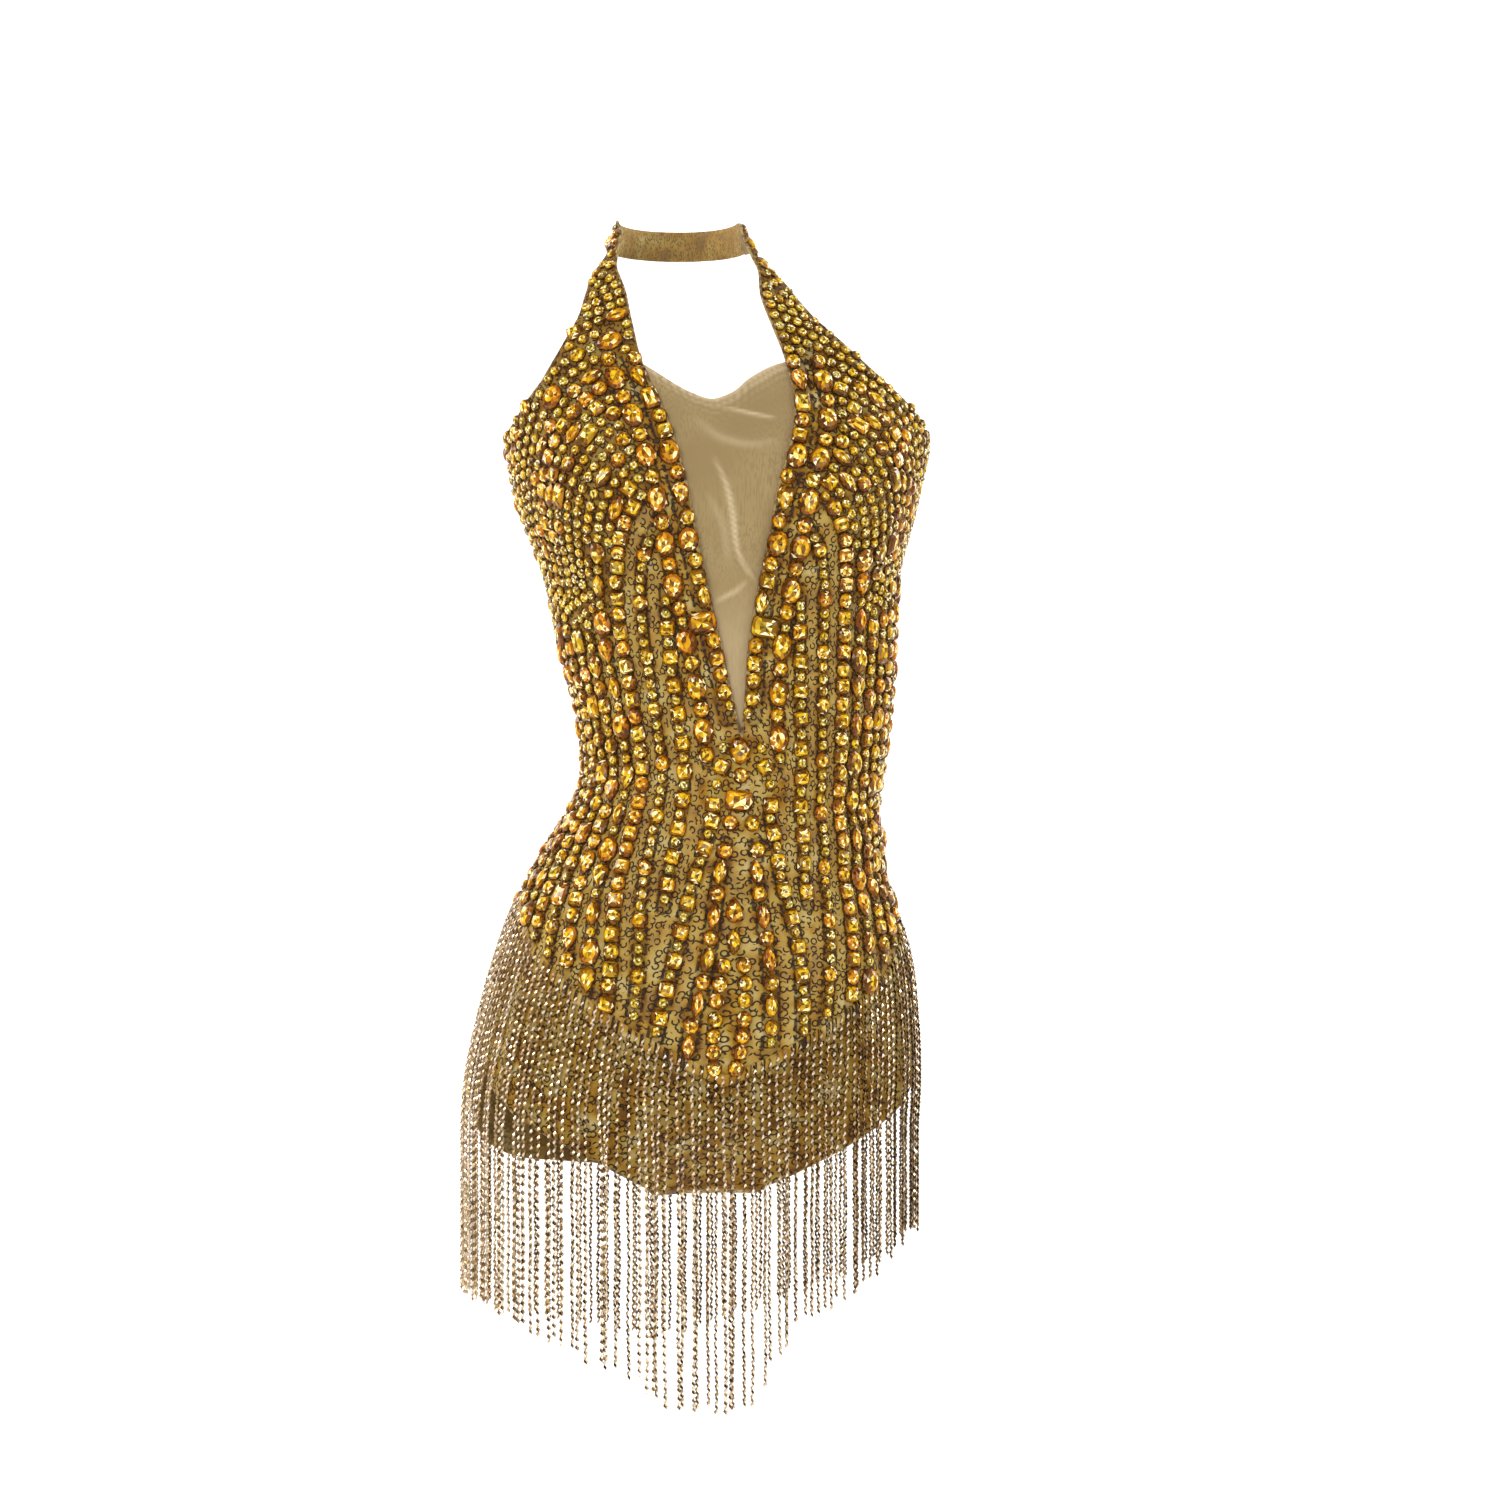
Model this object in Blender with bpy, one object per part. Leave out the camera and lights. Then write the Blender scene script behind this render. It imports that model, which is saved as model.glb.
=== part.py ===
"""A halter-neck dance leotard with rows of stones and a hip fringe, kept in its worn form.

Metres, +Z up. The front faces -Y and +X is the wearer's left. The origin is the nape: the middle of
the neck band's inner face. Every cloth piece is a thin wall. It is drawn in a chart, with the way
round the body across and the height up, and laid on one form through the table of sections below.
Angles are in degrees round the body: 0 is the front, 90 the wearer's left side, 180 the back.
"""

import bpy
import numpy as np
from mathutils import Vector
from mathutils.geometry import delaunay_2d_cdt

# Driving dimensions
WALL = 0.0016
NET_WALL = 0.001
SEAM_GAP = 0.0003
NET_GAP = 0.0005
ROUNDNESS = 2.2
CHART_RADIUS = 0.135
EDGE_SPACING = 0.012
BAND_SPACING = 0.024
NET_SPACING = 0.014
ROW_SPACING = 0.018
FILL_SPACING = 0.018
ROW_MARGIN = 0.0045
ROW_RISE = 0.0026

# The body's sections: height, centre across, centre front to back, half width, front depth,
# back depth, and turn to the wearer's left in degrees
SECTIONS = (
    (0.030, 0.000, -0.055, 0.0435, 0.051, 0.053, 0.0),
    (0.012, 0.000, -0.055, 0.0445, 0.052, 0.054, 0.0),
    (0.000, 0.000, -0.055, 0.0455, 0.054, 0.055, 0.0),
    (-0.020, 0.000, -0.057, 0.058, 0.058, 0.058, -0.2),
    (-0.048, 0.003, -0.060, 0.093, 0.062, 0.060, -0.5),
    (-0.0956, 0.0146, -0.064, 0.150, 0.075, 0.080, -1.0),
    (-0.143, 0.026, -0.065, 0.153, 0.090, 0.090, -1.0),
    (-0.202, 0.027, -0.065, 0.142, 0.092, 0.090, -1.5),
    (-0.246, 0.030, -0.065, 0.1275, 0.088, 0.085, -2.5),
    (-0.305, 0.0345, -0.066, 0.1195, 0.086, 0.080, -4.0),
    (-0.357, 0.039, -0.067, 0.111, 0.083, 0.076, -4.5),
    (-0.400, 0.037, -0.068, 0.107, 0.082, 0.076, -1.5),
    (-0.423, 0.0315, -0.068, 0.110, 0.083, 0.078, 1.0),
    (-0.445, 0.026, -0.067, 0.119, 0.088, 0.085, 4.0),
    (-0.467, 0.0206, -0.066, 0.126, 0.092, 0.092, 5.5),
    (-0.489, 0.0184, -0.065, 0.136, 0.097, 0.100, 6.3),
    (-0.533, 0.0173, -0.064, 0.150, 0.103, 0.108, 6.0),
    (-0.577, 0.0139, -0.063, 0.158, 0.106, 0.115, 5.0),
    (-0.621, 0.0106, -0.062, 0.163, 0.105, 0.118, 4.5),
    (-0.665, 0.0081, -0.062, 0.163, 0.100, 0.112, 4.2),
    (-0.720, 0.0070, -0.062, 0.159, 0.088, 0.098, 4.0),
)

# Cups, seat and the hollow between the legs
CUP = {"angle": 42.0, "height": -0.210, "out": 0.031, "bridge": 0.45}
CUP_SPREAD = {"side": 24.0, "above": 0.060, "below": 0.044}
SEAT = {"angle": 38.0, "height": -0.600, "out": 0.014, "side": 28.0, "tall": 0.060}
CROTCH = {"top": -0.625, "bottom": -0.700, "side": 22.0, "front": 0.040, "back": 0.046}

# Edges of the pieces
SEAM_ANGLE = 90.0
UNDERARM = -0.150
GUSSET_ANGLE = 14.0
GUSSET_SEAM = -0.690
GUSSET_REACH = 0.045
GUSSET_LEAD = 0.006
GUSSET_PINCH = 0.30
BAND_ANGLE = 100.0
BAND_HALF_HEIGHT = 0.011
# Edges over the neck side are angle and height, the others height and distance from the middle
VEE_TOP = ((100.0, 0.011), (91.0, 0.0095), (79.0, 0.003), (65.0, -0.010), (50.0, -0.026))
VEE = (
    (-0.0556, 0.0490),
    (-0.0787, 0.0510),
    (-0.1055, 0.0520),
    (-0.1318, 0.0490),
    (-0.1606, 0.0420),
    (-0.1955, 0.0320),
    (-0.2238, 0.0268),
    (-0.2516, 0.0208),
    (-0.2726, 0.0163),
    (-0.3080, 0.0096),
    (-0.3435, 0.0048),
    (-0.3700, 0.0000),
)
ARMHOLE_TOP = ((100.0, -0.011), (90.0, -0.012), (80.0, -0.0145), (70.0, -0.020))
ARMHOLE = (
    (-0.0295, 0.0620),
    (-0.0536, 0.0765),
    (-0.0703, 0.0860),
    (-0.0920, 0.1040),
    (-0.1124, 0.1210),
    (-0.1288, 0.1370),
    (-0.1440, 0.1490),
)
LEG_FRONT = (
    (90.0, -0.590),
    (75.0, -0.612),
    (58.0, -0.636),
    (40.0, -0.655),
    (26.0, -0.672),
    (14.0, -0.690),
)
LEG_BACK = (
    (90.0, -0.590),
    (102.0, -0.628),
    (118.0, -0.664),
    (136.0, -0.683),
    (152.0, -0.688),
    (166.0, -0.690),
)
BACK_SCOOP = ((90.0, -0.150), (106.0, -0.170), (128.0, -0.208), (155.0, -0.240), (180.0, -0.250))
NET_TOP = (
    (-0.1000, -0.0565),
    (-0.1100, -0.0440),
    (-0.1245, -0.0250),
    (-0.1300, -0.0100),
    (-0.1250, 0.0050),
    (-0.1150, 0.0200),
    (-0.1040, 0.0430),
    (-0.1000, 0.0565),
)
NET_TUCK = 0.0045
NET_BOTTOM = -0.377

# Rows of stones
ROWS_LOW = -0.620
CENTRE_ROW_TOP = -0.381
VEE_ROWS_TOP = -0.098
# The first row along the V spreads to its hip angle below the V, and the second one ends there
VEE_ROWS = (
    {"offset": 0.0075, "angle": 4.0, "hip_angle": 17.5, "end": -0.620},
    {"offset": 0.0230, "angle": 12.0, "hip_angle": 12.0, "end": -0.388},
)
SPREAD_TOP = -0.375
SPREAD_BOTTOM = -0.600
INNER_ROW = ((-0.620, 9.0), (-0.575, 9.0), (-0.455, 4.4))
ARC_CENTRE = -0.270
WIDE_ARCS = ({"angle": 20.5, "end": -0.490}, {"angle": 29.5, "end": -0.620})
CLOSE_ARCS_FROM = 38.5
CLOSE_ARC_STEP = 3.9
CLOSE_ARCS = 29
SHORT_ARCS_END = -0.290
# The rows draw together over the hips: angle at the waist, angle at the hips
FAN = ((0.0, 0.0), (20.5, 20.5), (29.5, 24.0), (38.5, 32.0), (47.5, 40.0), (90.0, 84.5))
FAN_TOP = -0.430
FAN_BOTTOM = -0.580
ROW_HALF_ANGLE = 2.8
BACK_ROW_STEP = 10.0
ROW_TO_FRINGE = 0.016

# Fringe
FRINGE_FRONT = -0.615
FRINGE_SIDE = -0.490
FRINGE_BACK = -0.595
TAPE_HEIGHT = 0.008
TAPE_DEPTH = 0.0018
TAPE_GAP = 0.0004
STRANDS_FRONT = 80
STRANDS_BACK = 84
STRAND_WIDTH = 0.0022
STRAND_SLACK = 0.0016
STRAND_SWAY = 0.0008
LENGTH_SCATTER = 0.004
FREE_BELOW = -0.615
FREE_DROP_AT_SIDE = 0.040
STRAND_STEP = 0.035
# Where the strands end: angle, height
STRAND_ENDS = (
    (-90.0, -0.762),
    (-60.0, -0.778),
    (-40.0, -0.797),
    (-25.0, -0.812),
    (-12.0, -0.838),
    (0.0, -0.843),
    (5.0, -0.840),
    (9.0, -0.812),
    (16.0, -0.785),
    (28.0, -0.770),
    (40.0, -0.757),
    (60.0, -0.726),
    (90.0, -0.730),
    (135.0, -0.790),
    (180.0, -0.832),
    (225.0, -0.800),
    (270.0, -0.762),
)

# Finish of each piece: colour, roughness, metallic
CLOTH = ((0.52, 0.36, 0.13, 1.0), 0.60, 0.20)
NET = ((0.50, 0.38, 0.25, 1.0), 0.80, 0.00)
CHAIN = ((0.62, 0.50, 0.33, 1.0), 0.35, 0.80)


def smooth(rows, at):
    """The later columns of a table, on a smooth curve through its rows by the first column."""
    rows = np.asarray(rows, float)
    rows = rows[np.argsort(rows[:, 0])]
    knots = rows[:, 0]
    values = rows[:, 1:]
    slopes = np.gradient(values, knots, axis=0)
    at = np.clip(np.atleast_1d(np.asarray(at, float)), knots[0], knots[-1])
    index = np.clip(np.searchsorted(knots, at) - 1, 0, len(knots) - 2)
    step = (knots[index + 1] - knots[index])[:, None]
    t = (at - knots[index])[:, None] / step
    start = (2 * t**3 - 3 * t**2 + 1) * values[index]
    end = (3 * t**2 - 2 * t**3) * values[index + 1]
    leave = (t**3 - 2 * t**2 + t) * step * slopes[index]
    reach = (t**3 - t**2) * step * slopes[index + 1]
    return start + end + leave + reach


def ease(t):
    """A smooth step from 0 to 1."""
    t = np.clip(t, 0.0, 1.0)
    return t * t * (3.0 - 2.0 * t)


def from_front(angle):
    """The angle from the front, 0 to 180, whichever side it is on."""
    return np.abs((angle + 180.0) % 360.0 - 180.0)


def cups(angle, z):
    """How far the cups push the front out."""
    away = from_front(angle)
    inner = CUP["bridge"] + (1.0 - CUP["bridge"]) * ease(away / CUP["angle"])
    outer = np.exp(-(((away - CUP["angle"]) / CUP_SPREAD["side"]) ** 2))
    across = np.where(away < CUP["angle"], inner, outer)
    tall = np.where(z > CUP["height"], CUP_SPREAD["above"], CUP_SPREAD["below"])
    return CUP["out"] * across * np.exp(-(((z - CUP["height"]) / tall) ** 2))


def seat(angle, z):
    """How far the seat pushes the back out."""
    away = 180.0 - from_front(angle)
    across = np.exp(-(((away - SEAT["angle"]) / SEAT["side"]) ** 2))
    return SEAT["out"] * across * np.exp(-(((z - SEAT["height"]) / SEAT["tall"]) ** 2))


def crotch(away, z, depth):
    """How far the cloth turns in towards the gusset."""
    down = ease((CROTCH["top"] - z) / (CROTCH["top"] - CROTCH["bottom"]))
    return depth * down * np.exp(-((away / CROTCH["side"]) ** 2))


def form(angle, z):
    """Points on the inside of the cloth."""
    angle, z = np.broadcast_arrays(np.atleast_1d(np.asarray(angle, float)), z)
    middle_x, middle_y, half, front, back, turn = smooth(SECTIONS, z).T
    sine = np.sin(np.radians(angle))
    cosine = np.cos(np.radians(angle))
    power = 2.0 / ROUNDNESS
    x = half * np.sign(sine) * np.abs(sine) ** power
    depth = np.where(cosine > 0.0, front, back)
    y = -depth * np.sign(cosine) * np.abs(cosine) ** power
    away = from_front(angle)
    y = y - cups(angle, z) + seat(angle, z)
    y = y + crotch(away, z, CROTCH["front"]) - crotch(180.0 - away, z, CROTCH["back"])
    turn = np.radians(turn)
    across = middle_x + x * np.cos(turn) - y * np.sin(turn)
    along = middle_y + x * np.sin(turn) + y * np.cos(turn)
    return np.column_stack([across, along, z])


def outward(angle, z):
    """Unit normals of the form, pointing out."""
    angle_step = 0.5
    height_step = 0.001
    across = form(angle + angle_step, z) - form(angle - angle_step, z)
    up = form(angle, z + height_step) - form(angle, z - height_step)
    normals = np.cross(across, up)
    return normals / np.linalg.norm(normals, axis=1)[:, None]


def surface(angle, z, out):
    """Points at a distance outside the form."""
    angle, z = np.broadcast_arrays(np.atleast_1d(np.asarray(angle, float)), z)
    return form(angle, z) + outward(angle, z) * np.reshape(out, (-1, 1))


def angle_at(half_width, z):
    """The angle at which the form has this half width from its centre line."""
    half = smooth(SECTIONS, z)[:, 2]
    ratio = np.clip(np.asarray(half_width) / half, -1.0, 1.0)
    return np.sign(ratio) * np.degrees(np.arcsin(np.abs(ratio) ** (ROUNDNESS / 2.0)))


def to_chart(angle, z):
    """Chart points of angles and heights."""
    return np.column_stack([np.radians(angle) * CHART_RADIUS, np.broadcast_to(z, np.shape(angle))])


def from_chart(points):
    """Angles and heights of chart points."""
    return np.degrees(points[:, 0] / CHART_RADIUS), points[:, 1]


def run_of(points):
    """The length along a line up to each of its points."""
    steps = np.linalg.norm(np.diff(points, axis=0), axis=1)
    return np.concatenate([[0.0], np.cumsum(steps)])


def even(points, spacing):
    """The same line with evenly spaced points."""
    run = run_of(points)
    count = max(1, round(run[-1] / spacing))
    at = np.linspace(0.0, run[-1], count + 1)
    return np.column_stack([np.interp(at, run, points[:, i]) for i in range(points.shape[1])])


def curve(points, spacing):
    """A smooth chart line through a few points."""
    points = np.asarray(points, float)
    run = run_of(points)
    fine = smooth(np.column_stack([run, points]), np.linspace(0.0, run[-1], 200))
    return even(fine, spacing)


def chart_of(pairs):
    """Chart points of (angle, height) pairs."""
    pairs = np.array(pairs, float)
    return to_chart(pairs[:, 0], pairs[:, 1])


def chart_at(pairs):
    """Chart points of (height, distance from the middle) pairs, to the wearer's left."""
    pairs = np.array(pairs, float)
    return to_chart(angle_at(pairs[:, 1], pairs[:, 0]), pairs[:, 0])


def mirrored(points):
    """The same line on the other side of the front's middle, run the other way."""
    return points[::-1] * np.array([-1.0, 1.0])


def joined(lines):
    """One closed outline from lines that meet end to end."""
    return np.vstack([line[:-1] for line in lines])


def vee_edge(spacing):
    """The V's edge on the wearer's left, from the halter's end down to the point."""
    return curve(np.vstack([chart_of(VEE_TOP), chart_at(VEE)]), spacing)


def armhole_edge(spacing):
    """The halter's outer edge on the wearer's left, from the underarm up to its end."""
    underarm = chart_of([(SEAM_ANGLE, UNDERARM)])
    top_down = np.vstack([chart_of(ARMHOLE_TOP), chart_at(ARMHOLE), underarm])
    return curve(top_down[::-1], spacing)


def front_outline(spacing=EDGE_SPACING):
    """The front panel's outline, counter-clockwise in the chart."""
    hem = even(chart_of([(0.0, GUSSET_SEAM), (GUSSET_ANGLE, GUSSET_SEAM)]), spacing)
    leg = curve(chart_of(LEG_FRONT)[::-1], spacing)
    side = even(chart_of([LEG_FRONT[0], (SEAM_ANGLE, UNDERARM)]), spacing)
    end = even(chart_of([(BAND_ANGLE, -BAND_HALF_HEIGHT), (BAND_ANGLE, BAND_HALF_HEIGHT)]), spacing)
    left = joined([hem, leg, side, armhole_edge(spacing), end, vee_edge(spacing)])
    on_seam = np.isclose(left[:, 0], np.radians(SEAM_ANGLE) * CHART_RADIUS, atol=1e-6)
    left[on_seam, 0] -= SEAM_GAP / 2.0
    point = chart_of([(0.0, VEE[-1][0])])
    return np.vstack([left, point, mirrored(left)[:-1]])


def back_outline(spacing=EDGE_SPACING):
    """The back panel's outline, counter-clockwise in the chart."""
    middle = np.radians(180.0) * CHART_RADIUS
    scoop = curve(chart_of(BACK_SCOOP)[::-1], spacing)
    side = even(chart_of([(SEAM_ANGLE, UNDERARM), LEG_BACK[0]]), spacing)
    side[:, 0] += SEAM_GAP / 2.0
    leg = curve(chart_of(LEG_BACK), spacing)
    hem = even(chart_of([LEG_BACK[-1], (180.0, GUSSET_SEAM)]), spacing)
    half = joined([scoop, side, leg, hem])
    far = half[1:][::-1] * np.array([-1.0, 1.0]) + np.array([2.0 * middle, 0.0])
    low = chart_of([(180.0, GUSSET_SEAM)])
    return np.vstack([half, low, far])


def net_outline(spacing=EDGE_SPACING):
    """The insert's outline: the V with a tuck under each edge and a curved top."""
    side = np.array([row for row in VEE if row[0] < NET_TOP[-1][0]])
    side[:, 1] += NET_TUCK
    top = chart_at(NET_TOP)[::-1]
    edge = curve(np.vstack([chart_of([(0.0, NET_BOTTOM)]), chart_at(side)[::-1], top[:1]]), spacing)
    return joined([edge, curve(top, spacing), mirrored(edge)])


def band_outline(spacing=BAND_SPACING):
    """The neck band's outline, from one halter end round the nape to the other."""
    gap = np.degrees(SEAM_GAP / smooth(SECTIONS, 0.0)[0, 2])
    start = BAND_ANGLE + gap
    end = 360.0 - BAND_ANGLE - gap
    low = -BAND_HALF_HEIGHT
    high = BAND_HALF_HEIGHT
    bottom = even(chart_of([(start, low), (end, low)]), spacing)
    right = even(chart_of([(end, low), (end, high)]), EDGE_SPACING)
    top = even(chart_of([(end, high), (start, high)]), spacing)
    left = even(chart_of([(start, high), (start, low)]), EDGE_SPACING)
    return joined([bottom, right, top, left])


def inside(points, outline):
    """Which points lie inside a closed outline."""
    x, y = points[:, :1], points[:, 1:]
    ax, ay = outline[:, 0], outline[:, 1]
    bx, by = np.roll(ax, -1), np.roll(ay, -1)
    crosses = (ay > y) != (by > y)
    level = np.where(by == ay, 1.0, by - ay)
    at = ax + (y - ay) * (bx - ax) / level
    return (crosses & (x < at)).sum(axis=1) % 2 == 1


def distance(points, outline):
    """Each point's distance from a closed outline."""
    start = outline[None, :, :]
    step = (np.roll(outline, -1, axis=0) - outline)[None, :, :]
    offset = points[:, None, :] - start
    t = (offset * step).sum(axis=2) / np.maximum((step**2).sum(axis=2), 1e-12)
    nearest = start + np.clip(t, 0.0, 1.0)[:, :, None] * step
    return np.linalg.norm(points[:, None, :] - nearest, axis=2).min(axis=1)


def fringe_line(angle):
    """Height of the fringe tape's lower edge."""
    away = from_front(angle)
    front = FRINGE_FRONT + (FRINGE_SIDE - FRINGE_FRONT) * away / 90.0
    back = FRINGE_BACK + (FRINGE_SIDE - FRINGE_BACK) * (180.0 - away) / 90.0
    return np.where(away < 90.0, front, back)


def row_runs(line, outline, keep):
    """The stretches of a fine chart line on which a row lies, with evenly spaced points."""
    angle, z = from_chart(line)
    use = inside(line, outline) & (distance(line, outline) > ROW_MARGIN)
    use = use & (z > fringe_line(angle) + ROW_TO_FRINGE) & keep(angle, z)
    starts = np.flatnonzero(np.diff(np.concatenate([[0], use.astype(int)])) == 1)
    ends = np.flatnonzero(np.diff(np.concatenate([use.astype(int), [0]])) == -1)
    runs = [line[a : b + 1] for a, b in zip(starts, ends)]
    return [even(run, ROW_SPACING) for run in runs if run_of(run)[-1] > 0.6 * ROW_SPACING]


def everywhere(angle, z):
    """Keeps a whole line."""
    return np.full(np.shape(angle), True)


def heights_of(run, rise):
    """Heights along a row: its rise, down to nothing at both ends."""
    heights = np.full(len(run), rise)
    heights[0] = 0.0
    heights[-1] = 0.0
    return heights


def vee_row_angle(row, z):
    """Angle of a row that follows the V's edge and spreads out below it."""
    width = np.interp(z, [r[0] for r in VEE[::-1]], [r[1] for r in VEE[::-1]])
    share = np.clip((SPREAD_TOP - z) / (SPREAD_TOP - SPREAD_BOTTOM), 0.0, 1.0)
    spread = (row["hip_angle"] - row["angle"]) * np.sin(share * np.pi / 2.0)
    return np.maximum(angle_at(width + row["offset"], z), row["angle"] + spread)


def outside_vee_rows(angle, z):
    """Keeps an arc clear of the rows along the V."""
    first, second = VEE_ROWS
    outer = np.where(z > second["end"], vee_row_angle(second, z), vee_row_angle(first, z))
    limit = outer + 2.0 * ROW_HALF_ANGLE
    return (z > VEE_ROWS_TOP + ROW_MARGIN) | (np.abs(angle) > limit)


def fanned(angle, z):
    """A row's angle at heights, as the rows draw together over the hips."""
    waist, hips = np.array(FAN).T
    share = ease((FAN_TOP - z) / (FAN_TOP - FAN_BOTTOM))
    return angle + (np.interp(angle, waist, hips) - angle) * share


def arc_line(angle):
    """A row straight up the body and then round over the cup to the V, on the wearer's left."""
    radius = np.radians(angle) * CHART_RADIUS
    turn = np.radians(np.linspace(0.0, 90.0, 200))
    arc = np.column_stack([radius * np.cos(turn), ARC_CENTRE + radius * np.sin(turn)])
    if angle >= SEAM_ANGLE:
        return arc
    low = np.linspace(ROWS_LOW, ARC_CENTRE, 150, endpoint=False)
    return np.vstack([to_chart(fanned(angle, low), low), arc])


def front_rows(outline):
    """Raised and level lines of the front, both sides: (points, heights)."""
    lines = []
    inner = np.linspace(INNER_ROW[0][0], INNER_ROW[-1][0], 100)
    inner_angle = np.interp(inner, [r[0] for r in INNER_ROW], [r[1] for r in INNER_ROW])
    for shift, rise in ((-ROW_HALF_ANGLE, 0.0), (0.0, ROW_RISE), (ROW_HALF_ANGLE, 0.0)):
        line = to_chart(inner_angle + shift, inner)
        lines += [(run, rise) for run in row_runs(line, outline, everywhere)]
        for row in VEE_ROWS:
            low = np.linspace(row["end"], VEE_ROWS_TOP, 260)
            line = to_chart(vee_row_angle(row, low) + shift, low)
            lines += [(run, rise) for run in row_runs(line, outline, everywhere)]
        for row in WIDE_ARCS:
            line = arc_line(row["angle"] + shift)
            line = line[line[:, 1] > row["end"]]
            lines += [(run, rise) for run in row_runs(line, outline, outside_vee_rows)]
    for step in range(-1, 2 * CLOSE_ARCS):
        angle = CLOSE_ARCS_FROM + step * CLOSE_ARC_STEP / 2.0
        rise = ROW_RISE if step % 2 == 0 else 0.0
        line = arc_line(angle)
        if step % 4 == 2:
            line = line[line[:, 1] > SHORT_ARCS_END]
        lines += [(run, rise) for run in row_runs(line, outline, outside_vee_rows)]
    both = lines + [(mirrored(run), rise) for run, rise in lines]
    middle = to_chart(np.zeros(150), np.linspace(ROWS_LOW, CENTRE_ROW_TOP, 150))
    both += [(run, ROW_RISE) for run in row_runs(middle, outline, everywhere)]
    return [(run, heights_of(run, rise)) for run, rise in both]


def back_rows(outline):
    """Raised and level lines of the back."""
    lines = []
    height = np.linspace(ROWS_LOW, UNDERARM, 260)
    for angle in np.arange(SEAM_ANGLE + BACK_ROW_STEP / 2.0, 270.0, BACK_ROW_STEP):
        for shift, rise in ((-ROW_HALF_ANGLE, 0.0), (0.0, ROW_RISE), (ROW_HALF_ANGLE, 0.0)):
            line = to_chart(np.full(len(height), angle + shift), height)
            lines += [(run, rise) for run in row_runs(line, outline, everywhere)]
    return [(run, heights_of(run, rise)) for run, rise in lines]


def band_rows(outline):
    """The neck band's one raised row."""
    start, end = outline[:, 0].min(), outline[:, 0].max()
    middle = np.column_stack([np.linspace(start, end, 60), np.zeros(60)])
    keep = distance(middle, outline) > ROW_MARGIN
    run = even(middle[keep], BAND_SPACING)
    return [(run, heights_of(run, ROW_RISE))]


def fill(outline, taken, spacing):
    """Chart points that fill an outline evenly, clear of its edge and of the points taken."""
    low, high = outline.min(axis=0), outline.max(axis=0)
    rows = np.arange(low[1] + spacing / 2.0, high[1], spacing * 0.87)
    points = []
    for i, z in enumerate(rows):
        shift = spacing / 2.0 * (i % 2)
        points += [(x, z) for x in np.arange(low[0] + shift, high[0], spacing)]
    points = np.array(points)
    points = points[inside(points, outline)]
    points = points[distance(points, outline) > 0.55 * spacing]
    if len(taken):
        apart = np.linalg.norm(points[:, None, :] - taken[None, :, :], axis=2).min(axis=1)
        points = points[apart > 0.60 * spacing]
    return points


def triangles(outline, lines, loose):
    """Triangles over an outline that keep its edge and every line."""
    chart = [outline]
    edges = []
    count = len(outline)
    for line in lines:
        edges += [(count + i, count + i + 1) for i in range(len(line) - 1)]
        chart.append(line)
        count += len(line)
    chart = np.vstack(chart + [loose]) if len(loose) else np.vstack(chart)
    coords = [Vector(point) for point in chart.tolist()]
    face = list(range(len(outline)))
    verts, _, faces, origin, _, _ = delaunay_2d_cdt(coords, edges, [face], 1, 1e-7)
    assert all(origin), "two lines of a chart cross"
    number = [source[0] for source in origin]
    return chart, [[number[corner] for corner in corners] for corners in faces]


def add_object(name, points, faces, finish):
    """A named object with its own material."""
    mesh = bpy.data.meshes.new(name)
    mesh.from_pydata(np.asarray(points).tolist(), [], faces)
    mesh.update()
    colour, roughness, metallic = finish
    material = bpy.data.materials.new(name)
    material.use_nodes = True
    shader = material.node_tree.nodes["Principled BSDF"]
    shader.inputs["Base Color"].default_value = colour
    shader.inputs["Roughness"].default_value = roughness
    shader.inputs["Metallic"].default_value = metallic
    mesh.materials.append(material)
    made = bpy.data.objects.new(name, mesh)
    bpy.context.scene.collection.objects.link(made)
    return made


def add_wall(name, outline, rows, inner, thickness, finish, spacing=FILL_SPACING):
    """A cloth piece: a plain inner layer, an outer layer with raised rows, and a rim."""
    lines = [points for points, _ in rows]
    taken = np.vstack(lines) if lines else np.zeros((0, 2))
    outer_chart, outer_faces = triangles(outline, lines, fill(outline, taken, spacing))
    inner_chart, inner_faces = triangles(outline, [], fill(outline, taken[:0], spacing))
    rise = np.zeros(len(outer_chart))
    at = len(outline)
    for _, heights in rows:
        rise[at : at + len(heights)] = heights
        at += len(heights)
    outside = surface(*from_chart(outer_chart), inner + thickness + rise)
    within = surface(*from_chart(inner_chart), np.full(len(inner_chart), inner))
    base = len(outside)
    faces = list(outer_faces)
    faces += [[base + corner for corner in reversed(face)] for face in inner_faces]
    for i in range(len(outline)):
        after = (i + 1) % len(outline)
        faces.append([after, i, base + i])
        faces.append([after, base + i, base + after])
    add_object(name, np.vstack([outside, within]), faces, finish)


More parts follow.
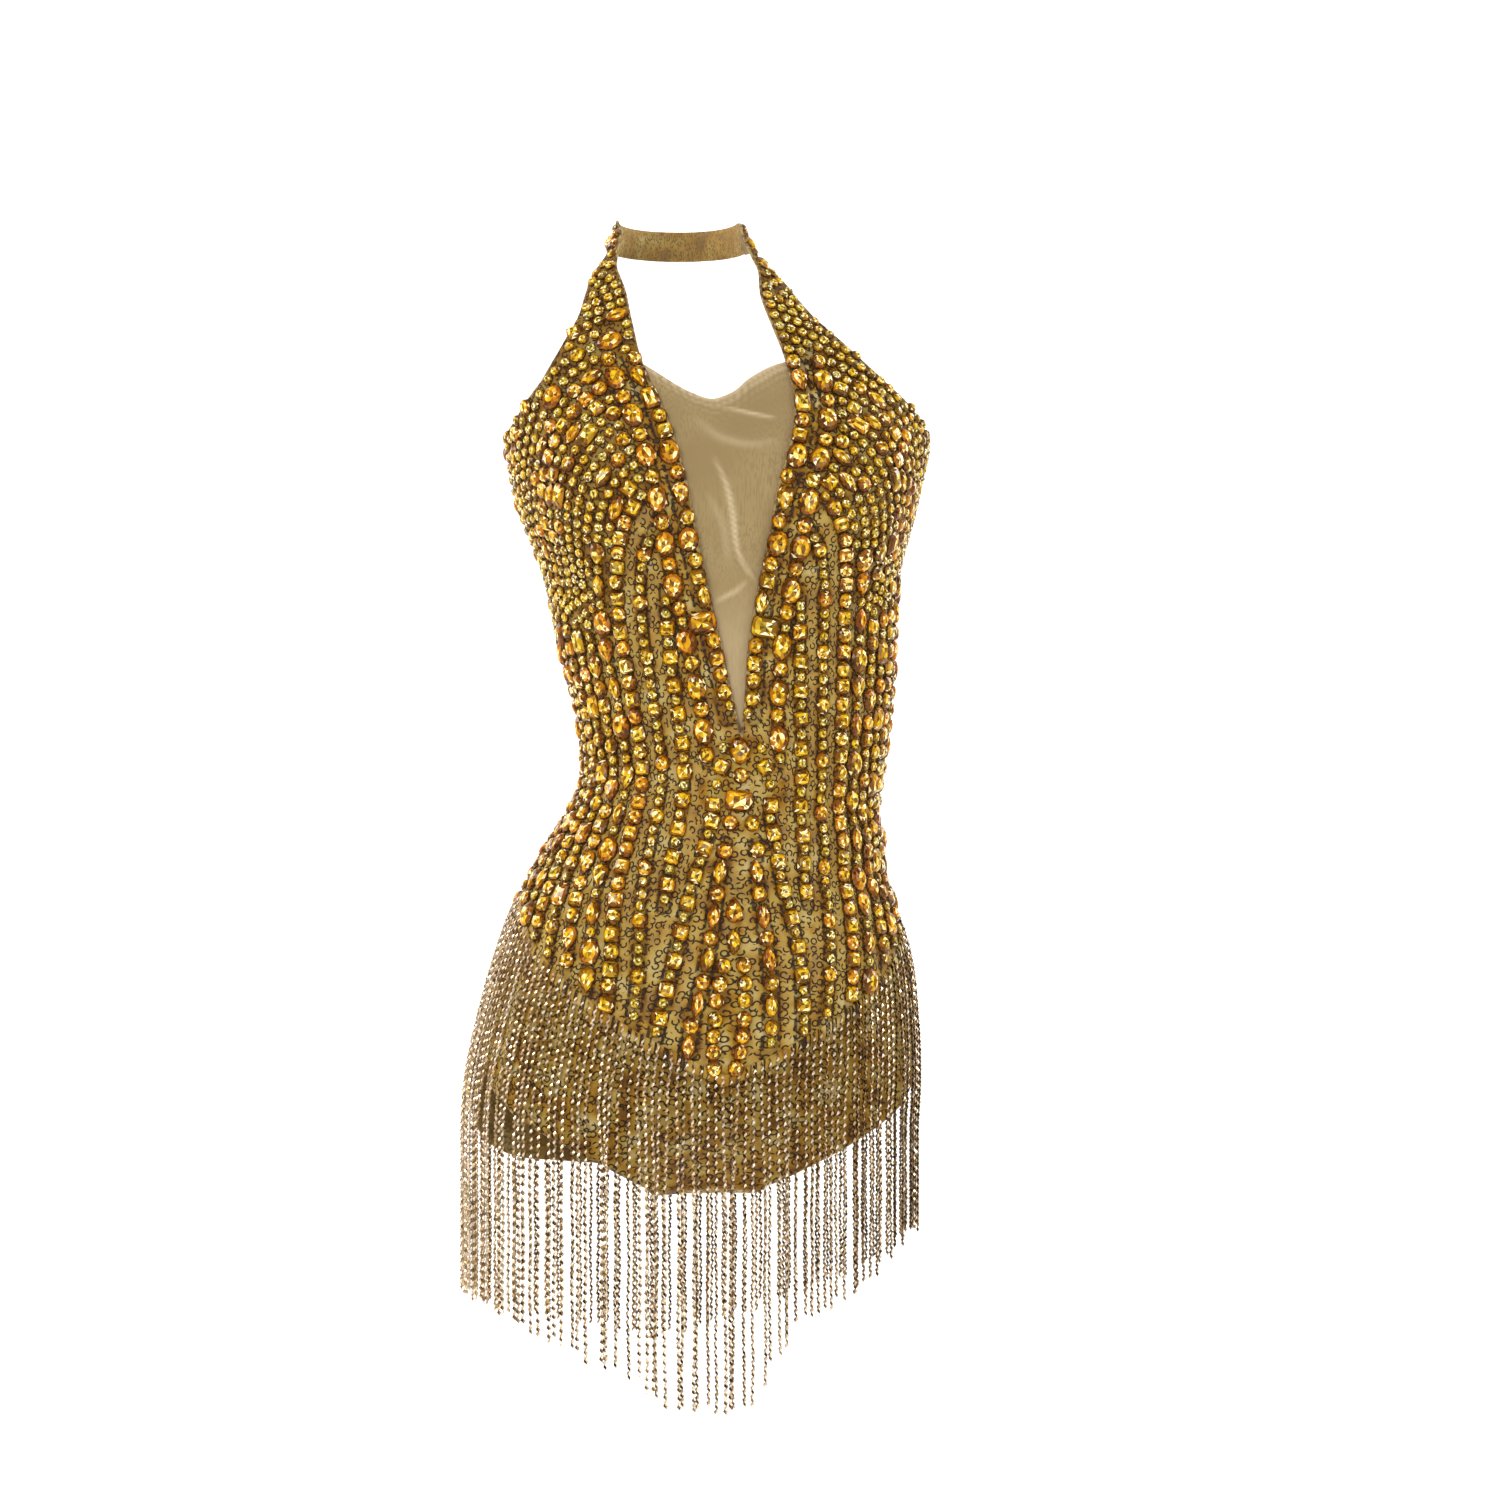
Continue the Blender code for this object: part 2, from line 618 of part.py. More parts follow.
def add_gusset():
    """The strip between the legs, a bridge from the front's lower seam to the back's."""
    across = np.linspace(-1.0, 1.0, 9)
    along = np.linspace(0.0, 1.0, 13)
    seam = GUSSET_SEAM - SEAM_GAP
    lower = GUSSET_SEAM - GUSSET_LEAD
    front_angle = across * GUSSET_ANGLE
    back_angle = 180.0 - across * GUSSET_ANGLE
    start, end = form(front_angle, seam), form(back_angle, seam)
    leave = form(front_angle, lower) - start
    arrive = end - form(back_angle, lower)
    leave = leave / np.linalg.norm(leave, axis=1)[:, None] * GUSSET_REACH
    arrive = arrive / np.linalg.norm(arrive, axis=1)[:, None] * GUSSET_REACH
    middle = (start.mean(axis=0) + end.mean(axis=0)) / 2.0
    rows = []
    for t in along:
        row = (2 * t**3 - 3 * t**2 + 1) * start + (3 * t**2 - 2 * t**3) * end
        row = row + (t**3 - 2 * t**2 + t) * leave + (t**3 - t**2) * arrive
        row[:, 0] = middle[0] + (row[:, 0] - middle[0]) * (1.0 - GUSSET_PINCH * np.sin(np.pi * t))
        rows.append(row)
    grid = np.array(rows)
    normals = np.cross(np.gradient(grid, axis=1), -np.gradient(grid, axis=0))
    normals[0] = outward(front_angle, seam)
    normals[-1] = outward(back_angle, seam)
    normals = normals / np.linalg.norm(normals, axis=2)[:, :, None]
    n, m = len(along), len(across)
    points = np.vstack([(grid + normals * WALL).reshape(-1, 3), grid.reshape(-1, 3)])
    faces = []
    for i in range(n - 1):
        for j in range(m - 1):
            a, b, c, d = i * m + j, i * m + j + 1, (i + 1) * m + j + 1, (i + 1) * m + j
            faces.append([a, d, c, b])
            faces.append([n * m + corner for corner in (a, b, c, d)])
    rim = list(range(m))
    rim += [i * m + m - 1 for i in range(1, n)]
    rim += [(n - 1) * m + j for j in range(m - 2, -1, -1)]
    rim += [i * m for i in range(n - 2, 0, -1)]
    for i, corner in enumerate(rim):
        after = rim[(i + 1) % len(rim)]
        faces.append([corner, after, n * m + after, n * m + corner])
    add_object("crotch_gusset", points, faces, CLOTH)


def even_angles(start, end, count):
    """Angles of strands at equal distances along the hip, the outer two just clear of the seams."""
    fine = np.linspace(start, end, 400)
    run = run_of(form(fine, FREE_BELOW))
    clear = (STRAND_WIDTH + SEAM_GAP) / 2.0
    return np.interp(np.linspace(clear, run[-1] - clear, count), run, fine)


def scatter(index, salt):
    """A repeatable number from -1 to 1 for a strand."""
    value = np.sin(index * 12.9898 + salt * 78.233) * 43758.5453
    return 2.0 * (value - np.floor(value)) - 1.0


def strand_levels(angle, index):
    """Heights of a strand's rings, from its root to its end."""
    root = float(fringe_line(angle))
    free = FREE_BELOW - FREE_DROP_AT_SIDE * np.sin(np.radians(angle)) ** 2
    end = float(np.interp(angle, [e[0] for e in STRAND_ENDS], [e[1] for e in STRAND_ENDS]))
    end += LENGTH_SCATTER * scatter(index, 1.0)
    steps = max(0, int(np.ceil((root - free) / STRAND_STEP)))
    on_body = np.linspace(root, free, steps + 1)[1:] if steps else []
    return [root, *on_body, end], free


def ring_at(angle, z, out, side):
    """A strand's three corners round a point outside the form."""
    middle = surface(angle, z, out)[0]
    facing = form(angle + 1.0, z)[0] - form(angle - 1.0, z)[0]
    facing[2] = 0.0
    facing = facing / np.linalg.norm(facing)
    away = np.cross(facing, [0.0, 0.0, 1.0])
    middle = middle + facing * side
    inner = middle - away * TAPE_DEPTH / 2.0
    outer = middle + away * TAPE_DEPTH / 2.0
    half = facing * STRAND_WIDTH / 2.0
    return [inner, outer - half, outer + half]


def add_fringe(name, start, end, count):
    """A tape on the hip line, with strands that grow from its lower edge."""
    near = WALL + TAPE_GAP
    far = near + TAPE_DEPTH
    points = []
    faces = []
    angles = even_angles(start, end, count)
    for angle in angles:
        low = float(fringe_line(angle))
        degree = np.linalg.norm(form(angle + 0.5, low) - form(angle - 0.5, low))
        width = STRAND_WIDTH / 2.0 / degree
        points.append(surface(angle, low, near)[0])
        points.append(surface(angle - width, low, far)[0])
        points.append(surface(angle + width, low, far)[0])
        points.append(surface(angle, low + TAPE_HEIGHT, near)[0])
        points.append(surface(angle, low + TAPE_HEIGHT, far)[0])
    for i in range(count - 1):
        a = 5 * i
        b = a + 5
        faces += [[a, b + 1, a + 2], [a, b, b + 1]]
        faces += [[a, b + 3, b], [a, a + 3, b + 3]]
        faces += [[a + 2, b + 1, a + 4], [a + 4, b + 1, b + 4]]
        faces += [[a + 3, b + 4, b + 3], [a + 3, a + 4, b + 4]]
    for i in range(count):
        a = 5 * i
        faces.append([a + 1, a + 2, a + 4])
    last = 5 * (count - 1)
    faces += [[0, 4, 3], [0, 1, 4]]
    faces += [[last, last + 3, last + 4], [last, last + 4, last + 2]]
    for i, angle in enumerate(angles):
        levels, free = strand_levels(angle, i)
        sway = 0.0 if i in (0, count - 1) else STRAND_SWAY * scatter(i, 2.0)
        ring = [5 * i, 5 * i + 1, 5 * i + 2]
        for z in levels[1:]:
            corners = ring_at(angle, max(z, free), near + TAPE_DEPTH / 2.0 + STRAND_SLACK, sway)
            drop = np.array([0.0, 0.0, min(0.0, z - free)])
            base = len(points)
            points += [corner + drop for corner in corners]
            lower = [base, base + 1, base + 2]
            for k in range(3):
                after = (k + 1) % 3
                faces.append([ring[k], lower[after], ring[after]])
                faces.append([ring[k], lower[k], lower[after]])
            ring = lower
        faces.append(ring[::-1])
    add_object(name, points, faces, CHAIN)


def clear_scene():
    """Removes what the scene starts with."""
    for item in list(bpy.data.objects):
        bpy.data.objects.remove(item, do_unlink=True)


def main():
    """Builds every piece."""
    clear_scene()
    front = front_outline()
    add_wall("front_panel", front, front_rows(front), 0.0, WALL, CLOTH)
    back = back_outline()
    add_wall("back_panel", back, back_rows(back), 0.0, WALL, CLOTH)
    add_wall("mesh_insert", net_outline(), [], -NET_GAP - NET_WALL, NET_WALL, NET, NET_SPACING)
    band = band_outline()
    add_wall("neck_band", band, band_rows(band), 0.0, WALL, CLOTH, BAND_SPACING)
    add_gusset()
    seam = np.degrees(SEAM_GAP / 2.0 / CHART_RADIUS)
    add_fringe("fringe_front", -SEAM_ANGLE + seam, SEAM_ANGLE - seam, STRANDS_FRONT)
    add_fringe("fringe_back", SEAM_ANGLE + seam, 270.0 - seam, STRANDS_BACK)


main()
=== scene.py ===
from collections import namedtuple

import bpy
import numpy as np
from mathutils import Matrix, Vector
from mathutils.geometry import delaunay_2d_cdt
from mathutils.kdtree import KDTree


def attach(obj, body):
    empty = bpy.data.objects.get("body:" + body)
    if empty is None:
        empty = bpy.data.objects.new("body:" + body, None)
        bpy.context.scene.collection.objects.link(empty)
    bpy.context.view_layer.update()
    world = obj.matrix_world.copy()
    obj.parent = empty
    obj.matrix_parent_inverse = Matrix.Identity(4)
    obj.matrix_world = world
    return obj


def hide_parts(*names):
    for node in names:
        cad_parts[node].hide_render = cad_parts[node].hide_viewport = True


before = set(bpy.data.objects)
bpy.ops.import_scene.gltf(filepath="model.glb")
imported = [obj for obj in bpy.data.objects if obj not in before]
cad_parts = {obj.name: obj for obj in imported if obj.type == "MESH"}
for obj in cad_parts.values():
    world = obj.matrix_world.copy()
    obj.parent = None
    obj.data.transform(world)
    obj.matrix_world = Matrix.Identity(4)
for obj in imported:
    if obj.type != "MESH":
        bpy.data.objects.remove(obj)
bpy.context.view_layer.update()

# Driving dimensions, in metres, as in the part's source
WALL = 0.0016
SEAM_GAP = 0.0003
NET_GAP = 0.0005
ROUNDNESS = 2.2
CHART_RADIUS = 0.135
EDGE_SPACING = 0.004
CLOTH_SPACING = 0.0034
LINING_SPACING = 0.010
ROUGH_SPACING = 0.008
BAND_SPACING = 0.010
SHELL_INSET = 0.0002

# Ways of the chart: over to the other side of its middle, and on once round the body
FLIP = np.array([-1.0, 1.0])
ONCE_ROUND = np.array([2.0 * np.radians(180.0) * CHART_RADIUS, 0.0])

# The body's sections: height, centre across, centre front to back, half width, front depth,
# back depth, and turn to the wearer's left in degrees
SECTIONS = (
    (0.030, 0.000, -0.055, 0.0435, 0.051, 0.053, 0.0),
    (0.012, 0.000, -0.055, 0.0445, 0.052, 0.054, 0.0),
    (0.000, 0.000, -0.055, 0.0455, 0.054, 0.055, 0.0),
    (-0.020, 0.000, -0.057, 0.058, 0.058, 0.058, -0.2),
    (-0.048, 0.003, -0.060, 0.093, 0.062, 0.060, -0.5),
    (-0.0956, 0.0146, -0.064, 0.150, 0.075, 0.080, -1.0),
    (-0.143, 0.026, -0.065, 0.153, 0.090, 0.090, -1.0),
    (-0.202, 0.027, -0.065, 0.142, 0.092, 0.090, -1.5),
    (-0.246, 0.030, -0.065, 0.1275, 0.088, 0.085, -2.5),
    (-0.305, 0.0345, -0.066, 0.1195, 0.086, 0.080, -4.0),
    (-0.357, 0.039, -0.067, 0.111, 0.083, 0.076, -4.5),
    (-0.400, 0.037, -0.068, 0.107, 0.082, 0.076, -1.5),
    (-0.423, 0.0315, -0.068, 0.110, 0.083, 0.078, 1.0),
    (-0.445, 0.026, -0.067, 0.119, 0.088, 0.085, 4.0),
    (-0.467, 0.0206, -0.066, 0.126, 0.092, 0.092, 5.5),
    (-0.489, 0.0184, -0.065, 0.136, 0.097, 0.100, 6.3),
    (-0.533, 0.0173, -0.064, 0.150, 0.103, 0.108, 6.0),
    (-0.577, 0.0139, -0.063, 0.158, 0.106, 0.115, 5.0),
    (-0.621, 0.0106, -0.062, 0.163, 0.105, 0.118, 4.5),
    (-0.665, 0.0081, -0.062, 0.163, 0.100, 0.112, 4.2),
    (-0.720, 0.0070, -0.062, 0.159, 0.088, 0.098, 4.0),
)

CUP = {"angle": 42.0, "height": -0.210, "out": 0.031, "bridge": 0.45}
CUP_SPREAD = {"side": 24.0, "above": 0.060, "below": 0.044}
SEAT = {"angle": 38.0, "height": -0.600, "out": 0.014, "side": 28.0, "tall": 0.060}
CROTCH = {"top": -0.625, "bottom": -0.700, "side": 22.0, "front": 0.040, "back": 0.046}

# Edges of the pieces. VEE, ARMHOLE and NET_TOP are height and distance from the middle, and the
# others are angle and height
SEAM_ANGLE = 90.0
UNDERARM = -0.150
GUSSET_ANGLE = 14.0
GUSSET_SEAM = -0.690
GUSSET_REACH = 0.045
GUSSET_PINCH = 0.30
GUSSET_HALF_WIDTH = 0.033
GUSSET_LENGTH = 0.120
BAND_ANGLE = 100.0
BAND_HALF_HEIGHT = 0.011
VEE_TOP = ((100.0, 0.011), (91.0, 0.0095), (79.0, 0.003), (65.0, -0.010), (50.0, -0.026))
VEE = (
    (-0.0556, 0.0490), (-0.0787, 0.0510), (-0.1055, 0.0520), (-0.1318, 0.0490),
    (-0.1606, 0.0420), (-0.1955, 0.0320), (-0.2238, 0.0268), (-0.2516, 0.0208),
    (-0.2726, 0.0163), (-0.3080, 0.0096), (-0.3435, 0.0048), (-0.3700, 0.0000),
)
ARMHOLE_TOP = ((100.0, -0.011), (90.0, -0.012), (80.0, -0.0145), (70.0, -0.020))
ARMHOLE = (
    (-0.0295, 0.0620), (-0.0536, 0.0765), (-0.0703, 0.0860), (-0.0920, 0.1040),
    (-0.1124, 0.1210), (-0.1288, 0.1370), (-0.1440, 0.1490),
)
LEG_FRONT = (
    (90.0, -0.590), (75.0, -0.612), (58.0, -0.636), (40.0, -0.655), (26.0, -0.672), (14.0, -0.690),
)
LEG_BACK = (
    (90.0, -0.590), (102.0, -0.628), (118.0, -0.664), (136.0, -0.683), (152.0, -0.688), (166.0, -0.690),
)
BACK_SCOOP = ((90.0, -0.150), (106.0, -0.170), (128.0, -0.208), (155.0, -0.240), (180.0, -0.250))
EDGE_ROLL = 0.0010
EDGE_ROLL_SINK = 0.55
EDGE_ROLL_SPACING = 0.006

# The insert
NET_TOP = (
    (-0.1000, -0.0565), (-0.1100, -0.0440), (-0.1245, -0.0250), (-0.1300, -0.0100),
    (-0.1250, 0.0050), (-0.1150, 0.0200), (-0.1040, 0.0430), (-0.1000, 0.0565),
)
NET_TUCK = 0.0045
NET_BOTTOM = -0.377
NET_SINK = 0.0009
NET_WALL = 0.0006
NET_EDGE_SPACING = 0.003
NET_SPACING = 0.0022

# Rows of stones
ROWS_LOW = -0.620
VEE_ROWS_TOP = -0.098
# The first row along the V spreads to its hip angle below the V, and the second one ends there
VEE_ROWS = (
    {"offset": 0.0075, "angle": 4.0, "hip_angle": 17.5, "end": -0.620},
    {"offset": 0.0230, "angle": 12.0, "hip_angle": 12.0, "end": -0.388},
)
SPREAD_TOP = -0.375
SPREAD_BOTTOM = -0.600
INNER_ROW = ((-0.620, 9.0), (-0.575, 9.0), (-0.455, 4.4))
ARC_CENTRE = -0.270
WIDE_ARCS = ({"angle": 20.5, "end": -0.490}, {"angle": 29.5, "end": -0.620})
CLOSE_ARCS_FROM = 38.5
CLOSE_ARC_STEP = 3.9
CLOSE_ARCS = 29
SHORT_ARCS_END = -0.290
# The rows draw together over the hips: angle at the waist, angle at the hips
FAN = ((0.0, 0.0), (20.5, 20.5), (29.5, 24.0), (38.5, 32.0), (47.5, 40.0), (90.0, 84.5))
FAN_TOP = -0.430
FAN_BOTTOM = -0.580
INNER_ROW_RISE = 0.010
# How far arcs keep from the rows along the V, above them and beside them
ARC_TOP_CLEAR = 0.006
ARC_SIDE_CLEAR = 3.08
BACK_ROW_STEP = 10.0
BAND_ROW_CLEAR = 4.0

# Fringe
FRINGE_FRONT = -0.615
FRINGE_SIDE = -0.490
FRINGE_BACK = -0.595
TAPE_HEIGHT = 0.008
TAPE_DEPTH = 0.0018
TAPE_GAP = 0.0004
STRANDS_FRONT = 80
STRANDS_BACK = 84
STRAND_WIDTH = 0.0022
STRAND_SLACK = 0.0016
STRAND_LEAN = 0.0020
STRAND_WAVE = 0.0004
STRAND_DEPTH = 0.0012
LENGTH_SCATTER = 0.004
FREE_BELOW = -0.615
FREE_DROP_AT_SIDE = 0.040
STRAND_ENDS = (
    (-90.0, -0.762), (-60.0, -0.778), (-40.0, -0.797), (-25.0, -0.812), (-12.0, -0.838), (0.0, -0.843),
    (5.0, -0.840), (9.0, -0.812), (16.0, -0.785), (28.0, -0.770), (40.0, -0.757), (60.0, -0.726),
    (90.0, -0.730), (135.0, -0.790), (180.0, -0.832), (225.0, -0.800), (270.0, -0.762),
)

# The cloth's print and relief
FAR_FROM_ROWS = 0.020
ROW_DETAIL = 0.0012
RIDGE = 0.0008
RIDGE_WIDTH = 0.0035
PUCKER = 0.00012
DRAG = 0.0003
CURL_SCALE = 178.0

# Stones on the rows
STONE_MARGIN = 0.0005
STONE_LIFT = 0.0004
STONE_GAP = 0.0004
STONE_OVERHANG = 0.0012
STONE_TURN = 0.05
ROW_START = -0.0012
ROW_STEP = 0.0015
ROW_END_SHARE = 0.30
NEIGHBOURS_WITHIN = 0.024
LEAST_APART = 0.98
MOST_STONES = 6000
SQUARENESS = 0.45
NAVETTE_POINT = 1.45
PEAR_POINT = 0.9
PEAR_WIDTH = 1.12

# Kinds of stone: shape, length along the row, width, height, corners of the outline, and hue from
# orange at 0 through amber to straw at 1
Kind = namedtuple("Kind", "shape long wide tall corners hue")
KINDS = {
    "S": Kind("round", 0.0082, 0.0075, 0.0033, 8, 0.78),
    "M": Kind("round", 0.0122, 0.0116, 0.0042, 10, 0.42),
    "Q": Kind("square", 0.0116, 0.0116, 0.0040, 12, 0.55),
    "R": Kind("square", 0.0177, 0.0122, 0.0045, 12, 0.50),
    "H": Kind("square", 0.0155, 0.0205, 0.0045, 12, 0.50),
    "O": Kind("round", 0.0195, 0.0150, 0.0050, 12, 0.36),
    "N": Kind("navette", 0.0185, 0.0100, 0.0042, 12, 0.40),
    "P": Kind("pear", 0.0185, 0.0145, 0.0046, 12, 0.44),
}
ALL_KINDS = "".join(KINDS)
# Rings of a setting and of its stone: share of the outline, share of the height, part of a step round
SETTING_RINGS = ((1.00, -0.18, 0.0), (1.00, 0.34, 0.0), (0.97, 0.42, 0.0), (0.91, 0.32, 0.0))
STONE_RINGS = ((0.96, 0.36, 0.0), (0.75, 0.78, 0.5), (0.44, 1.00, 0.0))
# The rings of facets from the rim in: tone, which is painted light and shade (a darker rim, a brighter
# middle), how much a painted lit side and shaded side swing it from side to side, and shift of hue
RING_PAINTED_LIGHT = (0.33, 0.47, 0.56)
PAINTED_SIDE_SWINGS = (0.17, 0.29, -0.27)
RING_HUES = (-0.30, -0.08, 0.04)
FACETS_A_CORNER = 5
TABLE_DIP = 0.97
# Random scatter of the facets' tones, then the share of facets with a painted glint of white light and the
# share painted dark
TONE_SCATTER = 0.13
PAINTED_GLINT_SHARE = 0.065
PAINTED_DARK_FROM = 0.93
PAINTED_DARK_TONE = 0.13
HUE_SCATTER = 0.12

# Stones along each kind of row, repeated down the row
EDGE_PATTERN = "MPRMQOMPMOMQNHMQM"
SECOND_PATTERN = "OM"
SPREAD_PATTERN = "SQ"
INNER_PATTERN = "MN"
WIDE_PATTERNS = ("QS", "MSSS")
LONG_PATTERNS = ("MQ", "PSNSO", "MQMP", "RSMS")
SHORT_PATTERNS = ("SQNS", "MSMN", "SMSSO")
BACK_PATTERNS = ("MSQS", "SSSM", "PSNSM", "SSSM")
BAND_PATTERN = "MSQS"

# The stones in the middle below the V: angle, height, kind, and turn in degrees. The pairs have
# their like on the other side, and the two columns are rows of height, right angle, left angle
MOTIF_TOP = -0.357
MOTIF_END = -0.425
MOTIF_MIDDLE = (
    (-0.9, -0.3790, "O", 0.0),
    (-0.9, -0.3970, "M", 0.0),
    (-0.9, -0.4150, "H", 0.0),
    (-0.9, -0.4915, "P", 180.0),
    (-1.0, -0.5140, "N", 0.0),
)
MOTIF_COLUMNS = (
    (-0.5305, -3.1, 1.1),
    (-0.5430, -3.6, 1.5),
    (-0.5550, -3.9, 1.9),
    (-0.5680, -3.6, 2.2),
    (-0.5795, -3.5, 2.2),
    (-0.5910, -3.1, 1.9),
    (-0.6025, -2.6, 1.5),
)
MOTIF_PAIRS = (
    (5.8, -0.3770, "S", 0.0),
    (6.7, -0.3910, "Q", 30.0),
    (8.4, -0.4035, "S", 0.0),
    (9.2, -0.4180, "Q", 0.0),
    (3.1, -0.4310, "M", 0.0),
)

# The insert's creases: how pale the painted highlight along each one is, how wide it is, how far it rises,
# and its chart line
NET_CREASES = (
    (0.80, 0.0013, 0.0010, (
        (-0.0094, -0.173), (-0.0029, -0.192), (0.0, -0.213), (0.0041, -0.243), (0.0159, -0.262),
    )),
    (0.60, 0.0022, 0.0010, ((0.0077, -0.260), (0.0006, -0.267), (-0.0124, -0.275))),
    (0.75, 0.0014, 0.0012, ((-0.0024, -0.136), (0.0100, -0.140), (0.0236, -0.143))),
    (0.30, 0.0030, 0.0008, ((-0.0180, -0.146), (-0.0060, -0.158), (0.0080, -0.163), (0.0240, -0.160))),
    (0.25, 0.0024, 0.0007, ((-0.0120, -0.200), (-0.0050, -0.222), (-0.0020, -0.250))),
)
# How pale the insert is painted along its hem, the painted highlight over its gathers, and how it grows paler
# towards the bottom
NET_HEM = {"pale": 0.62, "deep": 0.0055}
NET_GATHERS = {"pale": 0.30, "deep": 0.012, "rise": 0.0003}
NET_LOW = {"pale": 0.34, "top": -0.235, "fade": 0.080}
NET_SWELL = 0.0004
NET_HIGHEST = 0.0016

# A chain's links, painted light and shade for each face of a link, and its tone and how that varies by chain,
# by hand (a painted lighter and darker alternation from link to link) and by link
LINK = {"pitch": 0.0030, "length": 0.0048, "width": 0.0034, "depth": 0.0026, "roll": 0.6, "lean": 0.35}
LINK_FACES = ((0, 2, 1), (0, 3, 2), (0, 4, 3), (0, 1, 4), (5, 1, 2), (5, 2, 3), (5, 3, 4), (5, 4, 1))
LINK_FACE_PAINTED_LIGHT = np.array([0.42, -0.26, -0.42, 0.20, 0.34, -0.20, -0.42, 0.10])
CHAIN_TONE = {"middle": 0.53, "chain": 0.07, "hand": 0.04, "link": 0.12}

# Colours by tone, which is painted light and shade, from the deepest painted shade of a facet or link to a
# painted flash of light. The stones' are orange, amber and straw
TONE_STEPS = (0.0, 0.30, 0.55, 0.80, 1.0)
STONE_COLOURS = (
    ((0.045, 0.008, 0.001), (0.26, 0.065, 0.001), (0.6, 0.185, 0.002), (0.88, 0.4, 0.006), (1.0, 0.84, 0.4)),
    ((0.055, 0.018, 0.001), (0.27, 0.105, 0.001), (0.62, 0.32, 0.002), (0.9, 0.62, 0.012), (1.0, 0.94, 0.5)),
    ((0.05, 0.026, 0.003), (0.2, 0.12, 0.008), (0.46, 0.33, 0.03), (0.8, 0.66, 0.12), (1.0, 0.97, 0.64)),
)
CHAIN_COLOURS = (
    (0.030, 0.013, 0.003), (0.17, 0.090, 0.022), (0.40, 0.25, 0.090), (0.88, 0.62, 0.33), (1.0, 0.86, 0.66),
)
WHITE = (1.0, 1.0, 1.0)


def hermite(t):
    """Weights of a start, an end and the slopes at both, part of the way between them."""
    return 2 * t**3 - 3 * t**2 + 1, 3 * t**2 - 2 * t**3, t**3 - 2 * t**2 + t, t**3 - t**2


def smooth(rows, at):
    """The later columns of a table, on a smooth curve through its rows by the first column."""
    rows = np.asarray(rows, float)
    rows = rows[np.argsort(rows[:, 0])]
    knots = rows[:, 0]
    values = rows[:, 1:]
    slopes = np.gradient(values, knots, axis=0)
    at = np.clip(np.atleast_1d(np.asarray(at, float)), knots[0], knots[-1])
    index = np.clip(np.searchsorted(knots, at) - 1, 0, len(knots) - 2)
    step = (knots[index + 1] - knots[index])[:, None]
    start, end, leave, reach = hermite((at - knots[index])[:, None] / step)
    ends = start * values[index] + end * values[index + 1]
    return ends + leave * step * slopes[index] + reach * step * slopes[index + 1]


def ease(t):
    """A smooth step from 0 to 1."""
    t = np.clip(t, 0.0, 1.0)
    return t * t * (3.0 - 2.0 * t)


def from_front(angle):
    """The angle from the front, 0 to 180, whichever side it is on."""
    return np.abs((angle + 180.0) % 360.0 - 180.0)


def cups(angle, z):
    """How far the cups push the front out."""
    away = from_front(angle)
    inner = CUP["bridge"] + (1.0 - CUP["bridge"]) * ease(away / CUP["angle"])
    outer = np.exp(-(((away - CUP["angle"]) / CUP_SPREAD["side"]) ** 2))
    across = np.where(away < CUP["angle"], inner, outer)
    tall = np.where(z > CUP["height"], CUP_SPREAD["above"], CUP_SPREAD["below"])
    return CUP["out"] * across * np.exp(-(((z - CUP["height"]) / tall) ** 2))


def seat(angle, z):
    """How far the seat pushes the back out."""
    away = 180.0 - from_front(angle)
    across = np.exp(-(((away - SEAT["angle"]) / SEAT["side"]) ** 2))
    return SEAT["out"] * across * np.exp(-(((z - SEAT["height"]) / SEAT["tall"]) ** 2))


def crotch(away, z, depth):
    """How far the cloth turns in towards the gusset."""
    down = ease((CROTCH["top"] - z) / (CROTCH["top"] - CROTCH["bottom"]))
    return depth * down * np.exp(-((away / CROTCH["side"]) ** 2))


def form(angle, z):
    """Points on the inside of the cloth."""
    angle, z = np.broadcast_arrays(np.atleast_1d(np.asarray(angle, float)), z)
    middle_x, middle_y, half, front, back, turn = smooth(SECTIONS, z).T
    sine = np.sin(np.radians(angle))
    cosine = np.cos(np.radians(angle))
    power = 2.0 / ROUNDNESS
    x = half * np.sign(sine) * np.abs(sine) ** power
    depth = np.where(cosine > 0.0, front, back)
    y = -depth * np.sign(cosine) * np.abs(cosine) ** power
    away = from_front(angle)
    y = y - cups(angle, z) + seat(angle, z)
    y = y + crotch(away, z, CROTCH["front"]) - crotch(180.0 - away, z, CROTCH["back"])
    turn = np.radians(turn)
    across = middle_x + x * np.cos(turn) - y * np.sin(turn)
    along = middle_y + x * np.sin(turn) + y * np.cos(turn)
    return np.column_stack([across, along, z])


def unit(vectors):
    """The same directions, each of length one."""
    return vectors / np.linalg.norm(vectors, axis=-1)[..., None]


def outward(angle, z):
    """Unit normals of the form, pointing out."""
    angle_step = 0.5
    height_step = 0.001
    across = form(angle + angle_step, z) - form(angle - angle_step, z)
    up = form(angle, z + height_step) - form(angle, z - height_step)
    return unit(np.cross(across, up))


def surface(angle, z, out):
    """Points at a distance outside the form."""
    angle, z = np.broadcast_arrays(np.atleast_1d(np.asarray(angle, float)), z)
    return form(angle, z) + outward(angle, z) * np.reshape(out, (-1, 1))


def angle_at(half_width, z):
    """The angle at which the form has this half width from its centre line."""
    half = smooth(SECTIONS, z)[:, 2]
    ratio = np.clip(np.asarray(half_width) / half, -1.0, 1.0)
    return np.sign(ratio) * np.degrees(np.arcsin(np.abs(ratio) ** (ROUNDNESS / 2.0)))


